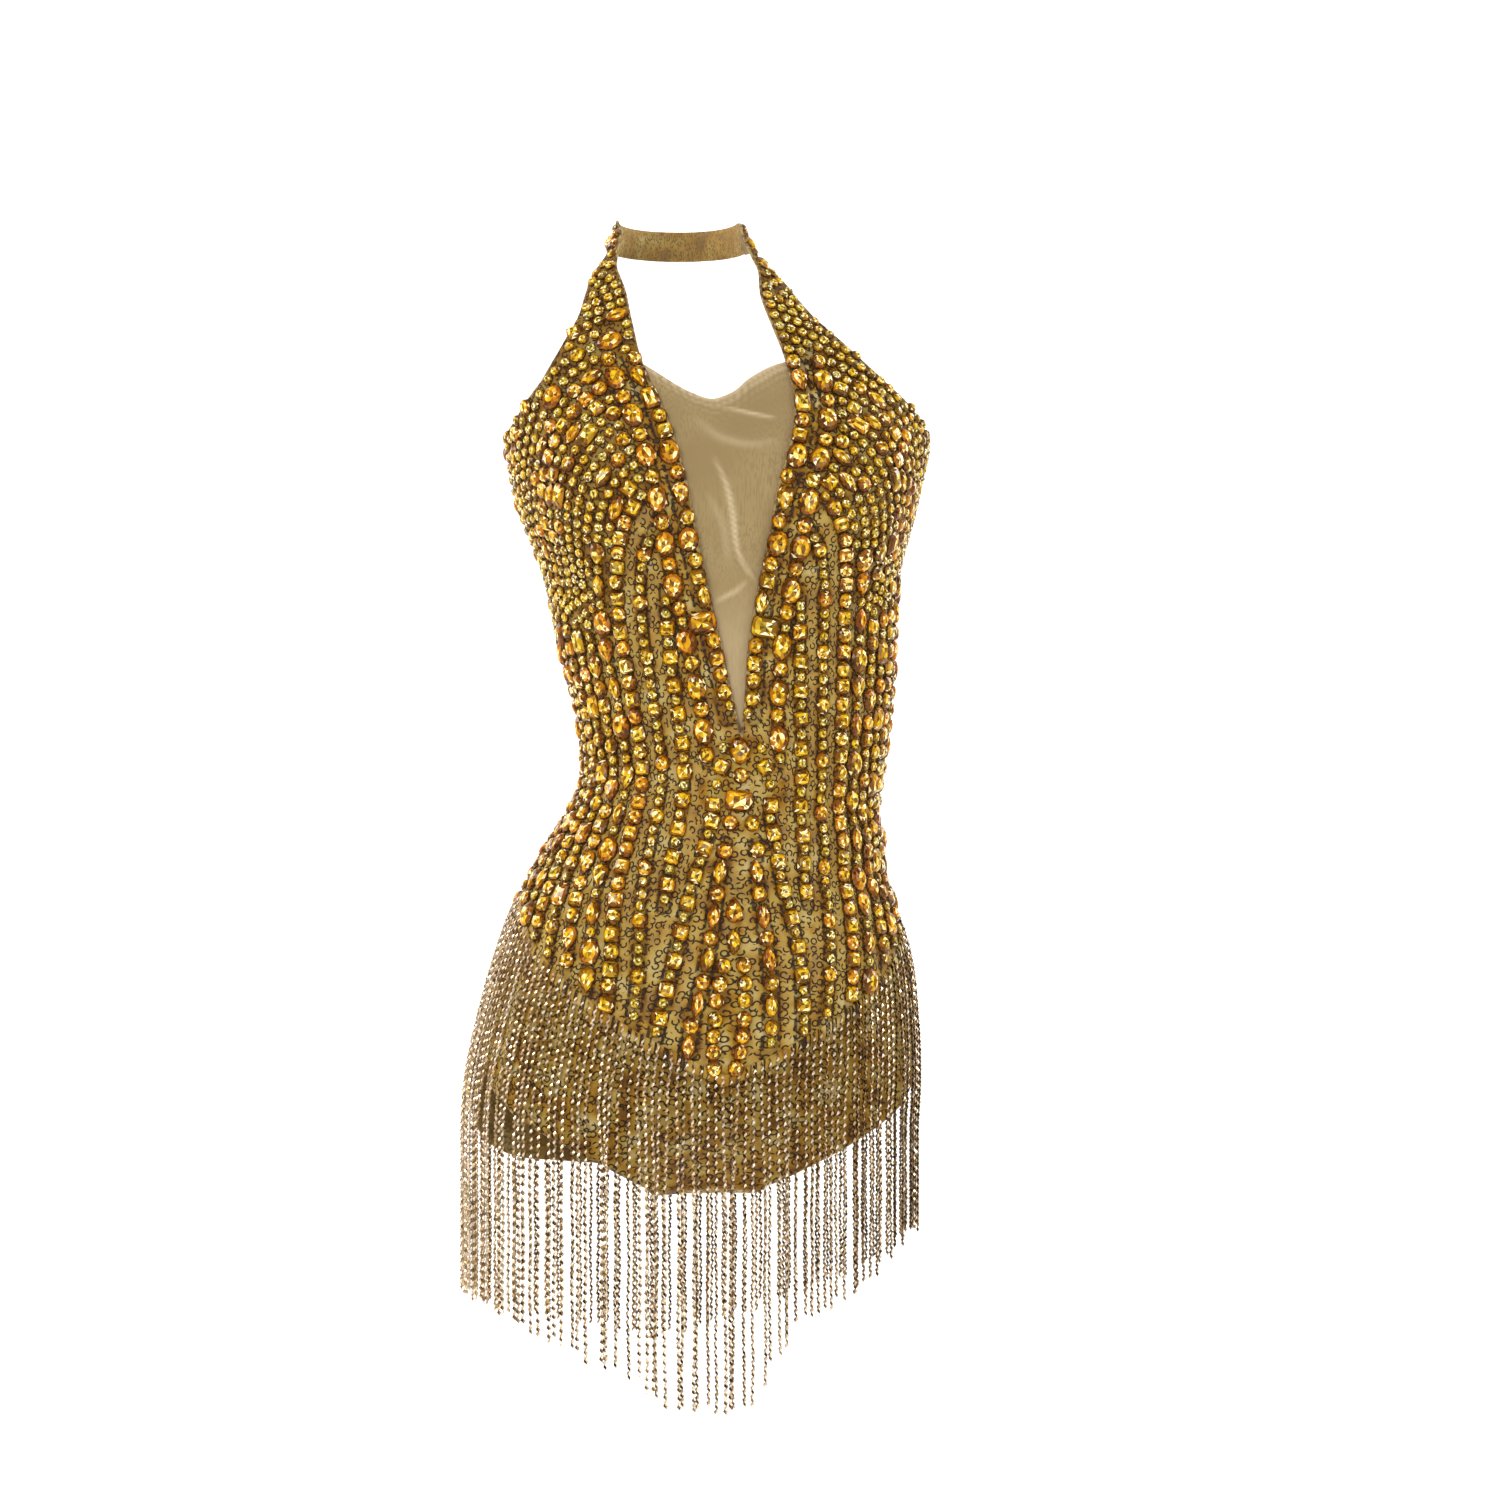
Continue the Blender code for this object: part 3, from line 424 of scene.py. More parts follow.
def to_chart(angle, z):
    """Chart points of angles and heights."""
    return np.column_stack([np.radians(angle) * CHART_RADIUS, np.broadcast_to(z, np.shape(angle))])


def from_chart(points):
    """Angles and heights of chart points."""
    return np.degrees(points[:, 0] / CHART_RADIUS), points[:, 1]


def run_of(points):
    """The length along a line up to each of its points."""
    steps = np.linalg.norm(np.diff(points, axis=0), axis=1)
    return np.concatenate([[0.0], np.cumsum(steps)])


def at_run(points, run, at):
    """Points of a line at lengths along it."""
    return np.column_stack([np.interp(at, run, points[:, i]) for i in range(points.shape[1])])


def even(points, spacing):
    """The same line with evenly spaced points."""
    run = run_of(points)
    count = max(1, round(run[-1] / spacing))
    return at_run(points, run, np.linspace(0.0, run[-1], count + 1))


def curve(points, spacing):
    """A smooth chart line through a few points."""
    points = np.asarray(points, float)
    run = run_of(points)
    fine = smooth(np.column_stack([run, points]), np.linspace(0.0, run[-1], 400))
    return even(fine, spacing)


def chart_of(pairs):
    """Chart points of (angle, height) pairs."""
    pairs = np.array(pairs, float)
    return to_chart(pairs[:, 0], pairs[:, 1])


def chart_at(pairs):
    """Chart points of (height, distance from the middle) pairs, to the wearer's left."""
    pairs = np.array(pairs, float)
    return to_chart(angle_at(pairs[:, 1], pairs[:, 0]), pairs[:, 0])


def mirrored(points):
    """The same line on the other side of the front's middle, run the other way."""
    return points[::-1] * FLIP


def joined(lines):
    """One closed outline from lines that meet end to end."""
    return np.vstack([line[:-1] for line in lines])


def vee_edge(spacing):
    """The V's edge on the wearer's left, from the halter's end down to the point."""
    return curve(np.vstack([chart_of(VEE_TOP), chart_at(VEE)]), spacing)


def armhole_edge(spacing):
    """The halter's outer edge on the wearer's left, from the underarm up to its end."""
    underarm = chart_of([(SEAM_ANGLE, UNDERARM)])
    top_down = np.vstack([chart_of(ARMHOLE_TOP), chart_at(ARMHOLE), underarm])
    return curve(top_down[::-1], spacing)


def front_outline(spacing=EDGE_SPACING):
    """The front panel's outline, counter-clockwise in the chart."""
    hem = even(chart_of([(0.0, GUSSET_SEAM), (GUSSET_ANGLE, GUSSET_SEAM)]), spacing)
    leg = curve(chart_of(LEG_FRONT)[::-1], spacing)
    side = even(chart_of([LEG_FRONT[0], (SEAM_ANGLE, UNDERARM)]), spacing)
    end = even(chart_of([(BAND_ANGLE, -BAND_HALF_HEIGHT), (BAND_ANGLE, BAND_HALF_HEIGHT)]), spacing)
    left = joined([hem, leg, side, armhole_edge(spacing), end, vee_edge(spacing)])
    on_seam = np.isclose(left[:, 0], np.radians(SEAM_ANGLE) * CHART_RADIUS, atol=1e-6)
    left[on_seam, 0] -= SEAM_GAP / 2.0
    point = chart_of([(0.0, VEE[-1][0])])
    return np.vstack([left, point, mirrored(left)[:-1]])


def back_outline(spacing=EDGE_SPACING):
    """The back panel's outline, counter-clockwise in the chart."""
    scoop = curve(chart_of(BACK_SCOOP)[::-1], spacing)
    side = even(chart_of([(SEAM_ANGLE, UNDERARM), LEG_BACK[0]]), spacing)
    side[:, 0] += SEAM_GAP / 2.0
    leg = curve(chart_of(LEG_BACK), spacing)
    hem = even(chart_of([LEG_BACK[-1], (180.0, GUSSET_SEAM)]), spacing)
    half = joined([scoop, side, leg, hem])
    far = half[1:][::-1] * FLIP + ONCE_ROUND
    low = chart_of([(180.0, GUSSET_SEAM)])
    return np.vstack([half, low, far])


def net_outline(spacing=EDGE_SPACING):
    """The insert's outline: the V with a tuck under each edge and a curved top."""
    side = np.array([row for row in VEE if row[0] < NET_TOP[-1][0]])
    side[:, 1] += NET_TUCK
    top = chart_at(NET_TOP)[::-1]
    edge = curve(np.vstack([chart_of([(0.0, NET_BOTTOM)]), chart_at(side)[::-1], top[:1]]), spacing)
    return joined([edge, curve(top, spacing), mirrored(edge)])


def band_outline(spacing=BAND_SPACING):
    """The neck band's outline, from one halter end round the nape to the other."""
    gap = np.degrees(SEAM_GAP / smooth(SECTIONS, 0.0)[0, 2])
    start = BAND_ANGLE + gap
    end = 360.0 - BAND_ANGLE - gap
    low = -BAND_HALF_HEIGHT
    high = BAND_HALF_HEIGHT
    bottom = even(chart_of([(start, low), (end, low)]), spacing)
    right = even(chart_of([(end, low), (end, high)]), EDGE_SPACING)
    top = even(chart_of([(end, high), (start, high)]), spacing)
    left = even(chart_of([(start, high), (start, low)]), EDGE_SPACING)
    return joined([bottom, right, top, left])


def inside(points, outline):
    """Which points lie inside a closed outline."""
    x, y = points[:, :1], points[:, 1:]
    ax, ay = outline[:, 0], outline[:, 1]
    bx, by = np.roll(ax, -1), np.roll(ay, -1)
    crosses = (ay > y) != (by > y)
    level = np.where(by == ay, 1.0, by - ay)
    at = ax + (y - ay) * (bx - ax) / level
    return (crosses & (x < at)).sum(axis=1) % 2 == 1


def distance(points, outline):
    """Each point's distance from a closed outline."""
    nearest = np.full(len(points), np.inf)
    step = np.roll(outline, -1, axis=0) - outline
    size = np.maximum((step**2).sum(axis=1), 1e-12)
    for start, way, length in zip(outline, step, size):
        offset = points - start
        t = np.clip(offset @ way / length, 0.0, 1.0)
        nearest = np.minimum(nearest, np.hypot(*(offset - t[:, None] * way).T))
    return nearest


def fill(outline, spacing):
    """Chart points that fill an outline evenly, clear of its edge."""
    low, high = outline.min(axis=0), outline.max(axis=0)
    points = []
    for i, z in enumerate(np.arange(low[1] + spacing / 2.0, high[1], spacing * 0.87)):
        across = np.arange(low[0] + spacing / 2.0 * (i % 2), high[0], spacing)
        points.append(np.column_stack([across, np.full(len(across), z)]))
    points = np.vstack(points)
    points = points[inside(points, outline)]
    return points[distance(points, outline) > 0.55 * spacing]


def triangles(outline, loose):
    """Triangles over an outline that keep its edge."""
    chart = np.vstack([outline, loose])
    coords = [Vector(point) for point in chart.tolist()]
    face = list(range(len(outline)))
    faces, origin = delaunay_2d_cdt(coords, [], [face], 1, 1e-7)[2:4]
    number = [source[0] for source in origin]
    return chart, [[number[corner] for corner in corners] for corners in faces]


def add_object(name, data):
    """An object in the scene."""
    made = bpy.data.objects.new(name, data)
    bpy.context.scene.collection.objects.link(made)
    return made


def add_mesh(name, points, faces, material, slot):
    """A piece that rides on the one body, with its material; the slot is not used."""
    mesh = bpy.data.meshes.new(name)
    mesh.from_pydata(np.asarray(points, float).tolist(), [], faces)
    mesh.update()
    mesh.materials.append(material)
    made = add_object(name, mesh)
    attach(made, "root")
    return made


def set_attribute(made, name, values, domain="POINT"):
    """A number for each point or face, which the material reads."""
    layer = made.data.attributes.new(name, "FLOAT", domain)
    layer.data.foreach_set("value", np.asarray(values, np.float32))


def set_chart(made, chart):
    """Each point's place in the chart, which the print follows."""
    layer = made.data.attributes.new("chart", "FLOAT_VECTOR", "POINT")
    places = np.column_stack([chart, np.zeros(len(chart))])
    layer.data.foreach_set("vector", places.astype(np.float32).ravel())


def soften(made, degrees=40.0):
    """Smooth shading, with edges sharper than an angle kept."""
    made.data.shade_smooth()
    made.data.set_sharp_from_angle(angle=np.radians(degrees))


def rim_faces(outline_count, base):
    """Faces between the outer and inner layers along an outline."""
    ends = [(i, (i + 1) % outline_count) for i in range(outline_count)]
    return [[after, i, base + i, base + after] for i, after in ends]


def add_shell(name, outline, relief, paint, out, thickness, material, slot, spacing=CLOTH_SPACING):
    """A thin cloth piece on the form, with a relief outside and numbers for its material to read."""
    outer, outer_faces = triangles(outline, fill(outline, spacing))
    inner, inner_faces = triangles(outline, fill(outline, LINING_SPACING))
    angle, z = from_chart(outer)
    heights = relief(angle, z)
    edge = len(outline)
    outside = surface(angle, z, out + thickness + heights)
    inner_angle, inner_z = from_chart(inner)
    inner_heights = relief(inner_angle, inner_z) * 0.5
    inner_heights[:edge] = 0.0
    within = surface(inner_angle, inner_z, out + inner_heights)
    faces = outer_faces + [[len(outer) + i for i in reversed(face)] for face in inner_faces]
    faces += rim_faces(edge, len(outer))
    made = add_mesh(name, np.vstack([outside, within]), faces, material, slot)
    both = np.concatenate([angle, inner_angle]), np.concatenate([z, inner_z])
    for key, values in paint.items():
        set_attribute(made, key, values(*both))
    set_attribute(made, "lining", np.repeat([0.0, 1.0], [len(outer), len(inner)]))
    set_chart(made, np.vstack([outer, inner]))
    soften(made)
    return made


# Rows across the front and the back, for the print and the stones

def fringe_line(angle):
    """Height of the fringe tape's lower edge."""
    away = from_front(angle)
    front = FRINGE_FRONT + (FRINGE_SIDE - FRINGE_FRONT) * away / 90.0
    back = FRINGE_BACK + (FRINGE_SIDE - FRINGE_BACK) * (180.0 - away) / 90.0
    return np.where(away < 90.0, front, back)


def vee_row_angle(row, z):
    """Angle of a row that follows the V's edge and spreads out below it."""
    width = np.interp(z, *np.array(VEE[::-1]).T)
    share = np.clip((SPREAD_TOP - z) / (SPREAD_TOP - SPREAD_BOTTOM), 0.0, 1.0)
    spread = (row["hip_angle"] - row["angle"]) * np.sin(share * np.pi / 2.0)
    return np.maximum(angle_at(width + row["offset"], z), row["angle"] + spread)


def fanned(angle, z):
    """A row's angle at heights, as the rows draw together over the hips."""
    waist, hips = np.array(FAN).T
    share = ease((FAN_TOP - z) / (FAN_TOP - FAN_BOTTOM))
    return angle + (np.interp(angle, waist, hips) - angle) * share


def arc_line(angle):
    """A row down from the V over the cup and then straight, on the wearer's left."""
    radius = np.radians(angle) * CHART_RADIUS
    turn = np.radians(np.linspace(90.0, 0.0, 300))
    arc = np.column_stack([radius * np.cos(turn), ARC_CENTRE + radius * np.sin(turn)])
    if angle >= SEAM_ANGLE:
        return arc
    low = np.linspace(ARC_CENTRE, ROWS_LOW, 250)
    return np.vstack([arc, to_chart(fanned(angle, low), low)])


def everywhere(angle, z):
    """Keeps a whole line."""
    return np.full(np.shape(angle), True)


def outside_vee_rows(angle, z):
    """Keeps an arc clear of the stones along the V."""
    first, second = VEE_ROWS
    outer = np.where(z > second["end"], vee_row_angle(second, z), vee_row_angle(first, z))
    return (z > VEE_ROWS_TOP - ARC_TOP_CLEAR) | (np.abs(angle) > outer + ARC_SIDE_CLEAR)


def row_runs(line, outline, keep):
    """The stretches of a fine chart line on which stones lie."""
    angle, z = from_chart(line)
    use = inside(line, outline) & (distance(line, outline) > STONE_MARGIN)
    use = use & (z > fringe_line(angle) + TAPE_HEIGHT) & keep(angle, z)
    starts = np.flatnonzero(np.diff(np.concatenate([[0], use.astype(int)])) == 1)
    ends = np.flatnonzero(np.diff(np.concatenate([use.astype(int), [0]])) == -1)
    return [line[a : b + 1] for a, b in zip(starts, ends) if b - a > 3]


def front_rows():
    """Stretches of every row of the front, top to bottom, each with its pattern of stones."""
    outline = front_outline(ROUGH_SPACING)
    first, second = VEE_ROWS
    lines = []
    for row, top, end, pattern in (
        (first, VEE_ROWS_TOP, MOTIF_TOP, EDGE_PATTERN),
        (second, VEE_ROWS_TOP, second["end"], SECOND_PATTERN),
        (first, MOTIF_END, first["end"], SPREAD_PATTERN),
    ):
        z = np.linspace(top, end, 500)
        lines.append((to_chart(vee_row_angle(row, z), z), pattern, everywhere))
    heights, angles = np.array(INNER_ROW).T
    z = np.linspace(heights[-1] + INNER_ROW_RISE, heights[0], 200)
    lines.append((to_chart(np.interp(z, heights, angles), z), INNER_PATTERN, everywhere))
    arcs = [(row["angle"], row["end"], pattern) for row, pattern in zip(WIDE_ARCS, WIDE_PATTERNS)]
    for step in range(CLOSE_ARCS):
        patterns, end = (SHORT_PATTERNS, SHORT_ARCS_END) if step % 2 else (LONG_PATTERNS, ROWS_LOW)
        arcs.append((CLOSE_ARCS_FROM + step * CLOSE_ARC_STEP, end, patterns[step // 2 % len(patterns)]))
    for angle, end, pattern in arcs:
        line = arc_line(angle)
        lines.append((line[line[:, 1] > end], pattern, outside_vee_rows))
    rows = [(run, pattern) for line, pattern, keep in lines for run in row_runs(line, outline, keep)]
    return [(run * side, pattern) for run, pattern in rows for side in (1.0, FLIP)]


def back_rows():
    """Stretches of every row of the back, top to bottom."""
    outline = back_outline(ROUGH_SPACING)
    z = np.linspace(UNDERARM, ROWS_LOW, 400)
    rows = []
    for i, angle in enumerate(np.arange(SEAM_ANGLE + BACK_ROW_STEP / 2.0, 360.0 - SEAM_ANGLE, BACK_ROW_STEP)):
        pattern = BACK_PATTERNS[i % len(BACK_PATTERNS)]
        rows += [(run, pattern) for run in row_runs(to_chart(np.full(400, angle), z), outline, everywhere)]
    return rows


def band_row():
    """The neck band's one row."""
    around = np.linspace(BAND_ANGLE + BAND_ROW_CLEAR, 360.0 - BAND_ROW_CLEAR - BAND_ANGLE, 200)
    return [(to_chart(around, np.zeros(200)), BAND_PATTERN)]


FRONT_ROWS = front_rows()
BACK_ROWS = back_rows()


def row_distance(rows):
    """A function that gives each place's distance from the nearest row, in the chart."""
    points = np.vstack([even(run, ROW_DETAIL) for run, _ in rows])
    tree = KDTree(len(points))
    for i, (x, z) in enumerate(points):
        tree.insert((x, z, 0.0), i)
    tree.balance()

    def near(angle, z):
        here = to_chart(angle, z)
        found = [tree.find((x, y, 0.0))[2] for x, y in here.tolist()]
        return np.minimum(found, FAR_FROM_ROWS)

    return near


def no_rows(angle, z):
    """The distance to give where there are no rows."""
    return np.full(np.shape(z), FAR_FROM_ROWS)


def row_relief(near):
    """A relief with a low soft ridge under each row and slight puckers between."""

    def relief(angle, z):
        ridge = RIDGE * np.exp(-((near(angle, z) / RIDGE_WIDTH) ** 2))
        pucker = PUCKER * np.sin(z * 520.0 + np.sin(angle * 0.35) * 3.0)
        drag = DRAG * np.sin(z * 95.0 + angle * 0.06)
        return ridge + pucker + drag

    return relief


# Materials

def node(tree, kind, inputs=None, **settings):
    """A shader node with its settings and inputs; an input that is a socket is linked."""
    made = tree.nodes.new(kind)
    for key, value in settings.items():
        setattr(made, key, value)
    for key, value in (inputs or {}).items():
        if isinstance(value, bpy.types.NodeSocket):
            tree.links.new(value, made.inputs[key])
        else:
            made.inputs[key].default_value = value
    return made


def maths(tree, operation, a, b):
    """The result of a math node."""
    return node(tree, "ShaderNodeMath", {0: a, 1: b}, operation=operation).outputs[0]


def product(tree, a, b):
    """One shader value times another."""
    return maths(tree, "MULTIPLY", a, b)


def ramp(tree, factor, stops):
    """A colour by a factor, through (place, colour) stops."""
    made = node(tree, "ShaderNodeValToRGB", {"Fac": factor})
    elements = made.color_ramp.elements
    while len(elements) < len(stops):
        elements.new(0.5)
    for element, (place, colour) in zip(elements, stops):
        element.position = place
        element.color = (*colour, 1.0)
    return made.outputs["Color"]


def by_tone_and_painted_light(tree, colours):
    """A colour by the tone, painted light and shade, of each face."""
    return ramp(tree, attribute(tree, "tone"), list(zip(TONE_STEPS, colours)))


def mix(tree, factor, a, b, blend="MIX"):
    """One colour laid over another."""
    inputs = {0: factor, 6: a, 7: b}
    return node(tree, "ShaderNodeMix", inputs, data_type="RGBA", blend_type=blend).outputs[2]


def step_up(tree, value, none, full, ends=(0.0, 1.0)):
    """0 up to one limit and 1 from another, with a smooth side between."""
    inputs = {"Value": value, "From Min": none, "From Max": full, "To Min": ends[0], "To Max": ends[1]}
    return node(tree, "ShaderNodeMapRange", inputs, interpolation_type="SMOOTHSTEP").outputs[0]


def step_down(tree, value, full, none):
    """1 up to one limit and 0 from another, with a smooth side between."""
    return step_up(tree, value, full, none, (1.0, 0.0))


def attribute(tree, name):
    """A piece's number as a shader value."""
    return node(tree, "ShaderNodeAttribute", attribute_name=name).outputs["Fac"]


def new_material(name, **sockets):
    """A material and its shader, with constant values on the shader's own sockets."""
    material = bpy.data.materials.new(name)
    material.use_nodes = True
    tree = material.node_tree
    shader = tree.nodes["Principled BSDF"]
    for key, value in sockets.items():
        shader.inputs[key.replace("_", " ")].default_value = value
    return material, tree, shader


def position(tree):
    """The place on the piece, in metres."""
    return node(tree, "ShaderNodeTexCoord").outputs["Object"]


def noise(tree, vector, scale, detail=1.0):
    """Smooth noise from 0 to 1."""
    inputs = {"Vector": vector, "Scale": scale, "Detail": detail}
    return node(tree, "ShaderNodeTexNoise", inputs).outputs["Fac"]


def cells(tree, vector, scale, ways="2D"):
    """Distance from the middles of scattered cells."""
    inputs = {"Vector": vector, "Scale": scale, "Randomness": 0.8}
    return node(tree, "ShaderNodeTexVoronoi", inputs, voronoi_dimensions=ways).outputs["Distance"]


def chart_place(tree):
    """The place in the chart."""
    return node(tree, "ShaderNodeAttribute", attribute_name="chart").outputs["Vector"]


def bump(tree, shader, height, depth, strength):
    """Fine relief from a height."""
    made = node(tree, "ShaderNodeBump", {"Height": height, "Distance": depth, "Strength": strength})
    tree.links.new(made.outputs["Normal"], shader.inputs["Normal"])


def printed_mesh():
    """Golden stretch mesh: brown curls and paler stripes between the rows, with painted shade under the
    stones, partly dark print, and a painted shade line beside the rows.
    """
    material, tree, shader = new_material(
        "printed_mesh", Roughness=0.65, Sheen_Weight=0.04, Specular_IOR_Level=0.2
    )
    grounds = (
        (0.30, (0.58, 0.44, 0.18)),
        (0.42, (0.46, 0.30, 0.055)),
        (0.54, (0.37, 0.180, 0.010)),
        (0.68, (0.17, 0.070, 0.007)),
    )
    colour = ramp(tree, noise(tree, position(tree), 62.0, 2.0), grounds)
    chart = chart_place(tree)
    broken = noise(tree, chart, 260.0, 0.0)
    ring = cells(tree, chart, CURL_SCALE)
    curl = product(tree, step_up(tree, ring, 0.23, 0.28), step_down(tree, ring, 0.43, 0.49))
    curl = product(tree, curl, step_up(tree, broken, 0.40, 0.46))
    near = attribute(tree, "near")
    between = product(tree, step_up(tree, near, 0.0060, 0.0085), step_down(tree, near, 0.0110, 0.0140))
    # Darker under the rows: painted shade of the stones, partly dark print
    print_and_painted_shade_under = step_down(tree, near, 0.0040, 0.0060)
    # A dark line beside each row, broken here and there: painted shade in the gap between the ridges
    line = product(tree, step_up(tree, near, 0.0034, 0.0040), step_down(tree, near, 0.0054, 0.0064))
    line = product(tree, line, step_up(tree, broken, 0.35, 0.46))
    for mask, strength, layer in (
        (between, 0.40, (0.52, 0.37, 0.12)),
        (print_and_painted_shade_under, 0.42, (0.10, 0.045, 0.008)),
        (line, 0.85, (0.030, 0.012, 0.004)),
        (curl, 0.95, (0.022, 0.009, 0.004)),
        (attribute(tree, "lining"), 0.45, (0.36, 0.25, 0.10)),
    ):
        colour = mix(tree, product(tree, mask, strength), colour, (*layer, 1.0))
    tree.links.new(colour, shader.inputs["Base Color"])
    bump(tree, shader, broken, 0.0004, 0.4)
    return material


def tulle():
    """Matte beige net: fine upright threads, a little see-through, with painted highlights along its creases
    and gathers, and paler along the hem and towards the bottom.
    """
    material, tree, shader = new_material(
        "tulle", Roughness=0.85, Sheen_Weight=0.12, Specular_IOR_Level=0.2
    )
    place = position(tree)
    fold = attribute(tree, "fold")
    clouds = ((0.35, (0.355, 0.244, 0.100)), (0.70, (0.420, 0.300, 0.128)))
    colour = ramp(tree, noise(tree, place, 22.0), clouds)
    long_threads = node(tree, "ShaderNodeMapping", {"Vector": place, "Scale": (1.0, 1.0, 0.12)}).outputs[0]
    threads = noise(tree, long_threads, 900.0, 0.0)
    colour = mix(tree, step_down(tree, threads, 0.38, 0.52), colour, (0.350, 0.241, 0.100, 1.0))
    # Painted highlights on the creases and gathers; paler along the hem and towards the bottom
    colour = mix(tree, fold, colour, (0.79, 0.63, 0.40, 1.0))
    tree.links.new(colour, shader.inputs["Base Color"])
    tree.links.new(maths(tree, "ADD", 0.90, product(tree, fold, 0.08)), shader.inputs["Alpha"])
    bump(tree, shader, threads, 0.0003, 0.4)
    return material


def stone_glass():
    """Cut stones: each facet has its own tone of painted light and shade, each kind its hue from orange to
    straw, and the brighter facets a painted glow.
    """
    material, tree, shader = new_material("cut_stone", Roughness=0.10, Specular_IOR_Level=0.35)
    hue = attribute(tree, "hue")
    orange, amber, straw = (by_tone_and_painted_light(tree, colours) for colours in STONE_COLOURS)
    warm = mix(tree, step_up(tree, hue, 0.0, 0.5), orange, amber)
    colour = mix(tree, step_up(tree, hue, 0.5, 1.0), warm, straw)
    # Painted glow: the brighter facets emit light in their own colour
    painted_glow = product(tree, step_up(tree, attribute(tree, "tone"), 0.45, 1.0), 0.22)
    tree.links.new(colour, shader.inputs["Base Color"])
    tree.links.new(colour, shader.inputs["Emission Color"])
    tree.links.new(painted_glow, shader.inputs["Emission Strength"])
    return material


def setting_metal():
    """Old gold of the stones' settings, in random darker and paler patches."""
    material, tree, shader = new_material("setting", Metallic=0.8, Roughness=0.4)
    worn = noise(tree, position(tree), 650.0)
    golds = ((0.30, (0.055, 0.028, 0.008)), (0.55, (0.24, 0.13, 0.030)), (0.80, (0.62, 0.40, 0.12)))
    tree.links.new(ramp(tree, worn, golds), shader.inputs["Base Color"])
    bump(tree, shader, worn, 0.0002, 0.4)
    return material


def chain_metal():
    """Rosy pale gold of the chains, link by link, from painted shade to painted highlights by each face's
    tone.
    """
    material, tree, shader = new_material("chain_gold", Metallic=0.7, Roughness=0.30)
    fine = ramp(tree, noise(tree, position(tree), 800.0, 0.0), ((0.35, (0.42, 0.36, 0.30)), (0.60, WHITE)))
    colour = mix(tree, 0.5, by_tone_and_painted_light(tree, CHAIN_COLOURS), fine, "MULTIPLY")
    tree.links.new(colour, shader.inputs["Base Color"])
    return material


def edge_cloth():
    """The narrow rolled edge: stitched elastic."""
    material, tree, shader = new_material("edge_roll", Roughness=0.75)
    place = position(tree)
    browns = ((0.35, (0.13, 0.065, 0.020)), (0.60, (0.44, 0.30, 0.11)))
    tree.links.new(ramp(tree, noise(tree, place, 260.0), browns), shader.inputs["Base Color"])
    bump(tree, shader, cells(tree, place, 1100.0, "3D"), 0.0003, 0.6)
    return material


# Stones

def stone_outline(kind, turn):
    """A stone's outline, as points at angles round it."""
    sine, cosine = np.sin(turn), np.cos(turn)
    x, y = cosine, sine
    if kind.shape == "square":
        x, y = (np.sign(v) * np.abs(v) ** SQUARENESS for v in (cosine, sine))
    elif kind.shape == "navette":
        y = np.sign(sine) * np.abs(sine) ** NAVETTE_POINT
    elif kind.shape == "pear":
        y = sine * np.abs(np.sin(turn / 2.0)) ** PEAR_POINT * PEAR_WIDTH
    return np.column_stack([x * kind.long / 2.0, y * kind.wide / 2.0])


def ring_at_height(kind, share, rise, shift):
    """One ring of corners of a stone or its setting."""
    turn = 2.0 * np.pi * (np.arange(kind.corners) + shift) / kind.corners
    flat = stone_outline(kind, turn) * share
    return np.column_stack([flat, np.full(len(turn), rise * kind.tall)])


def setting_shape(kind):
    """A setting's points and faces, flat on its row."""
    corners = kind.corners
    points = np.vstack([ring_at_height(kind, *ring) for ring in SETTING_RINGS])
    faces = []
    for low in range(0, corners * (len(SETTING_RINGS) - 1), corners):
        for i in range(corners):
            after = (i + 1) % corners
            faces.append([low + i, low + after, low + corners + after, low + corners + i])
    return points, faces


def stone_shape(kind):
    """A stone's points, faces, and the ring that each face belongs to."""
    corners = kind.corners
    points = [ring_at_height(kind, *ring) for ring in STONE_RINGS]
    points.append([[0.0, 0.0, kind.tall * TABLE_DIP]])
    faces = []
    for i in range(corners):
        after = (i + 1) % corners
        girdle, crown, table = i, corners + i, 2 * corners + i
        girdle_after, crown_after, table_after = after, corners + after, 2 * corners + after
        faces.append([girdle, girdle_after, crown])
        faces.append([girdle_after, crown_after, crown])
        faces.append([crown, table_after, table])
        faces.append([crown, crown_after, table_after])
        faces.append([table, table_after, 3 * corners])
    return np.vstack(points), faces, np.tile([0, 0, 1, 1, 2], corners)


def facet_tone_and_painted_light(rings, draws):
    """A tone for each facet, mostly painted light and shade: a painted lit side and shaded side, some facets
    with a painted glint and some painted dark, with random scatter.
    """
    corners = len(rings) // FACETS_A_CORNER
    azimuth = np.arange(len(rings)) // FACETS_A_CORNER * 2.0 * np.pi / corners
    side = np.cos(azimuth + draws.uniform(0.0, 2.0 * np.pi)) * np.array(PAINTED_SIDE_SWINGS)[rings]
    tones = np.array(RING_PAINTED_LIGHT)[rings] + side + TONE_SCATTER * draws.normal(size=len(rings))
    chance = draws.random(len(rings))
    tones = np.where(chance < PAINTED_GLINT_SHARE, 1.0, tones)
    tones = np.where(chance > PAINTED_DARK_FROM, PAINTED_DARK_TONE, tones)
    return np.clip(tones, 0.0, 1.0)


def reaches(directions, along, across, halves):
    """How far oval stones reach from their middles in some directions."""
    a = (directions * along).sum(axis=-1) / halves[..., 0]
    b = (directions * across).sum(axis=-1) / halves[..., 1]
    return 1.0 / np.sqrt(a * a + b * b + 1e-9)


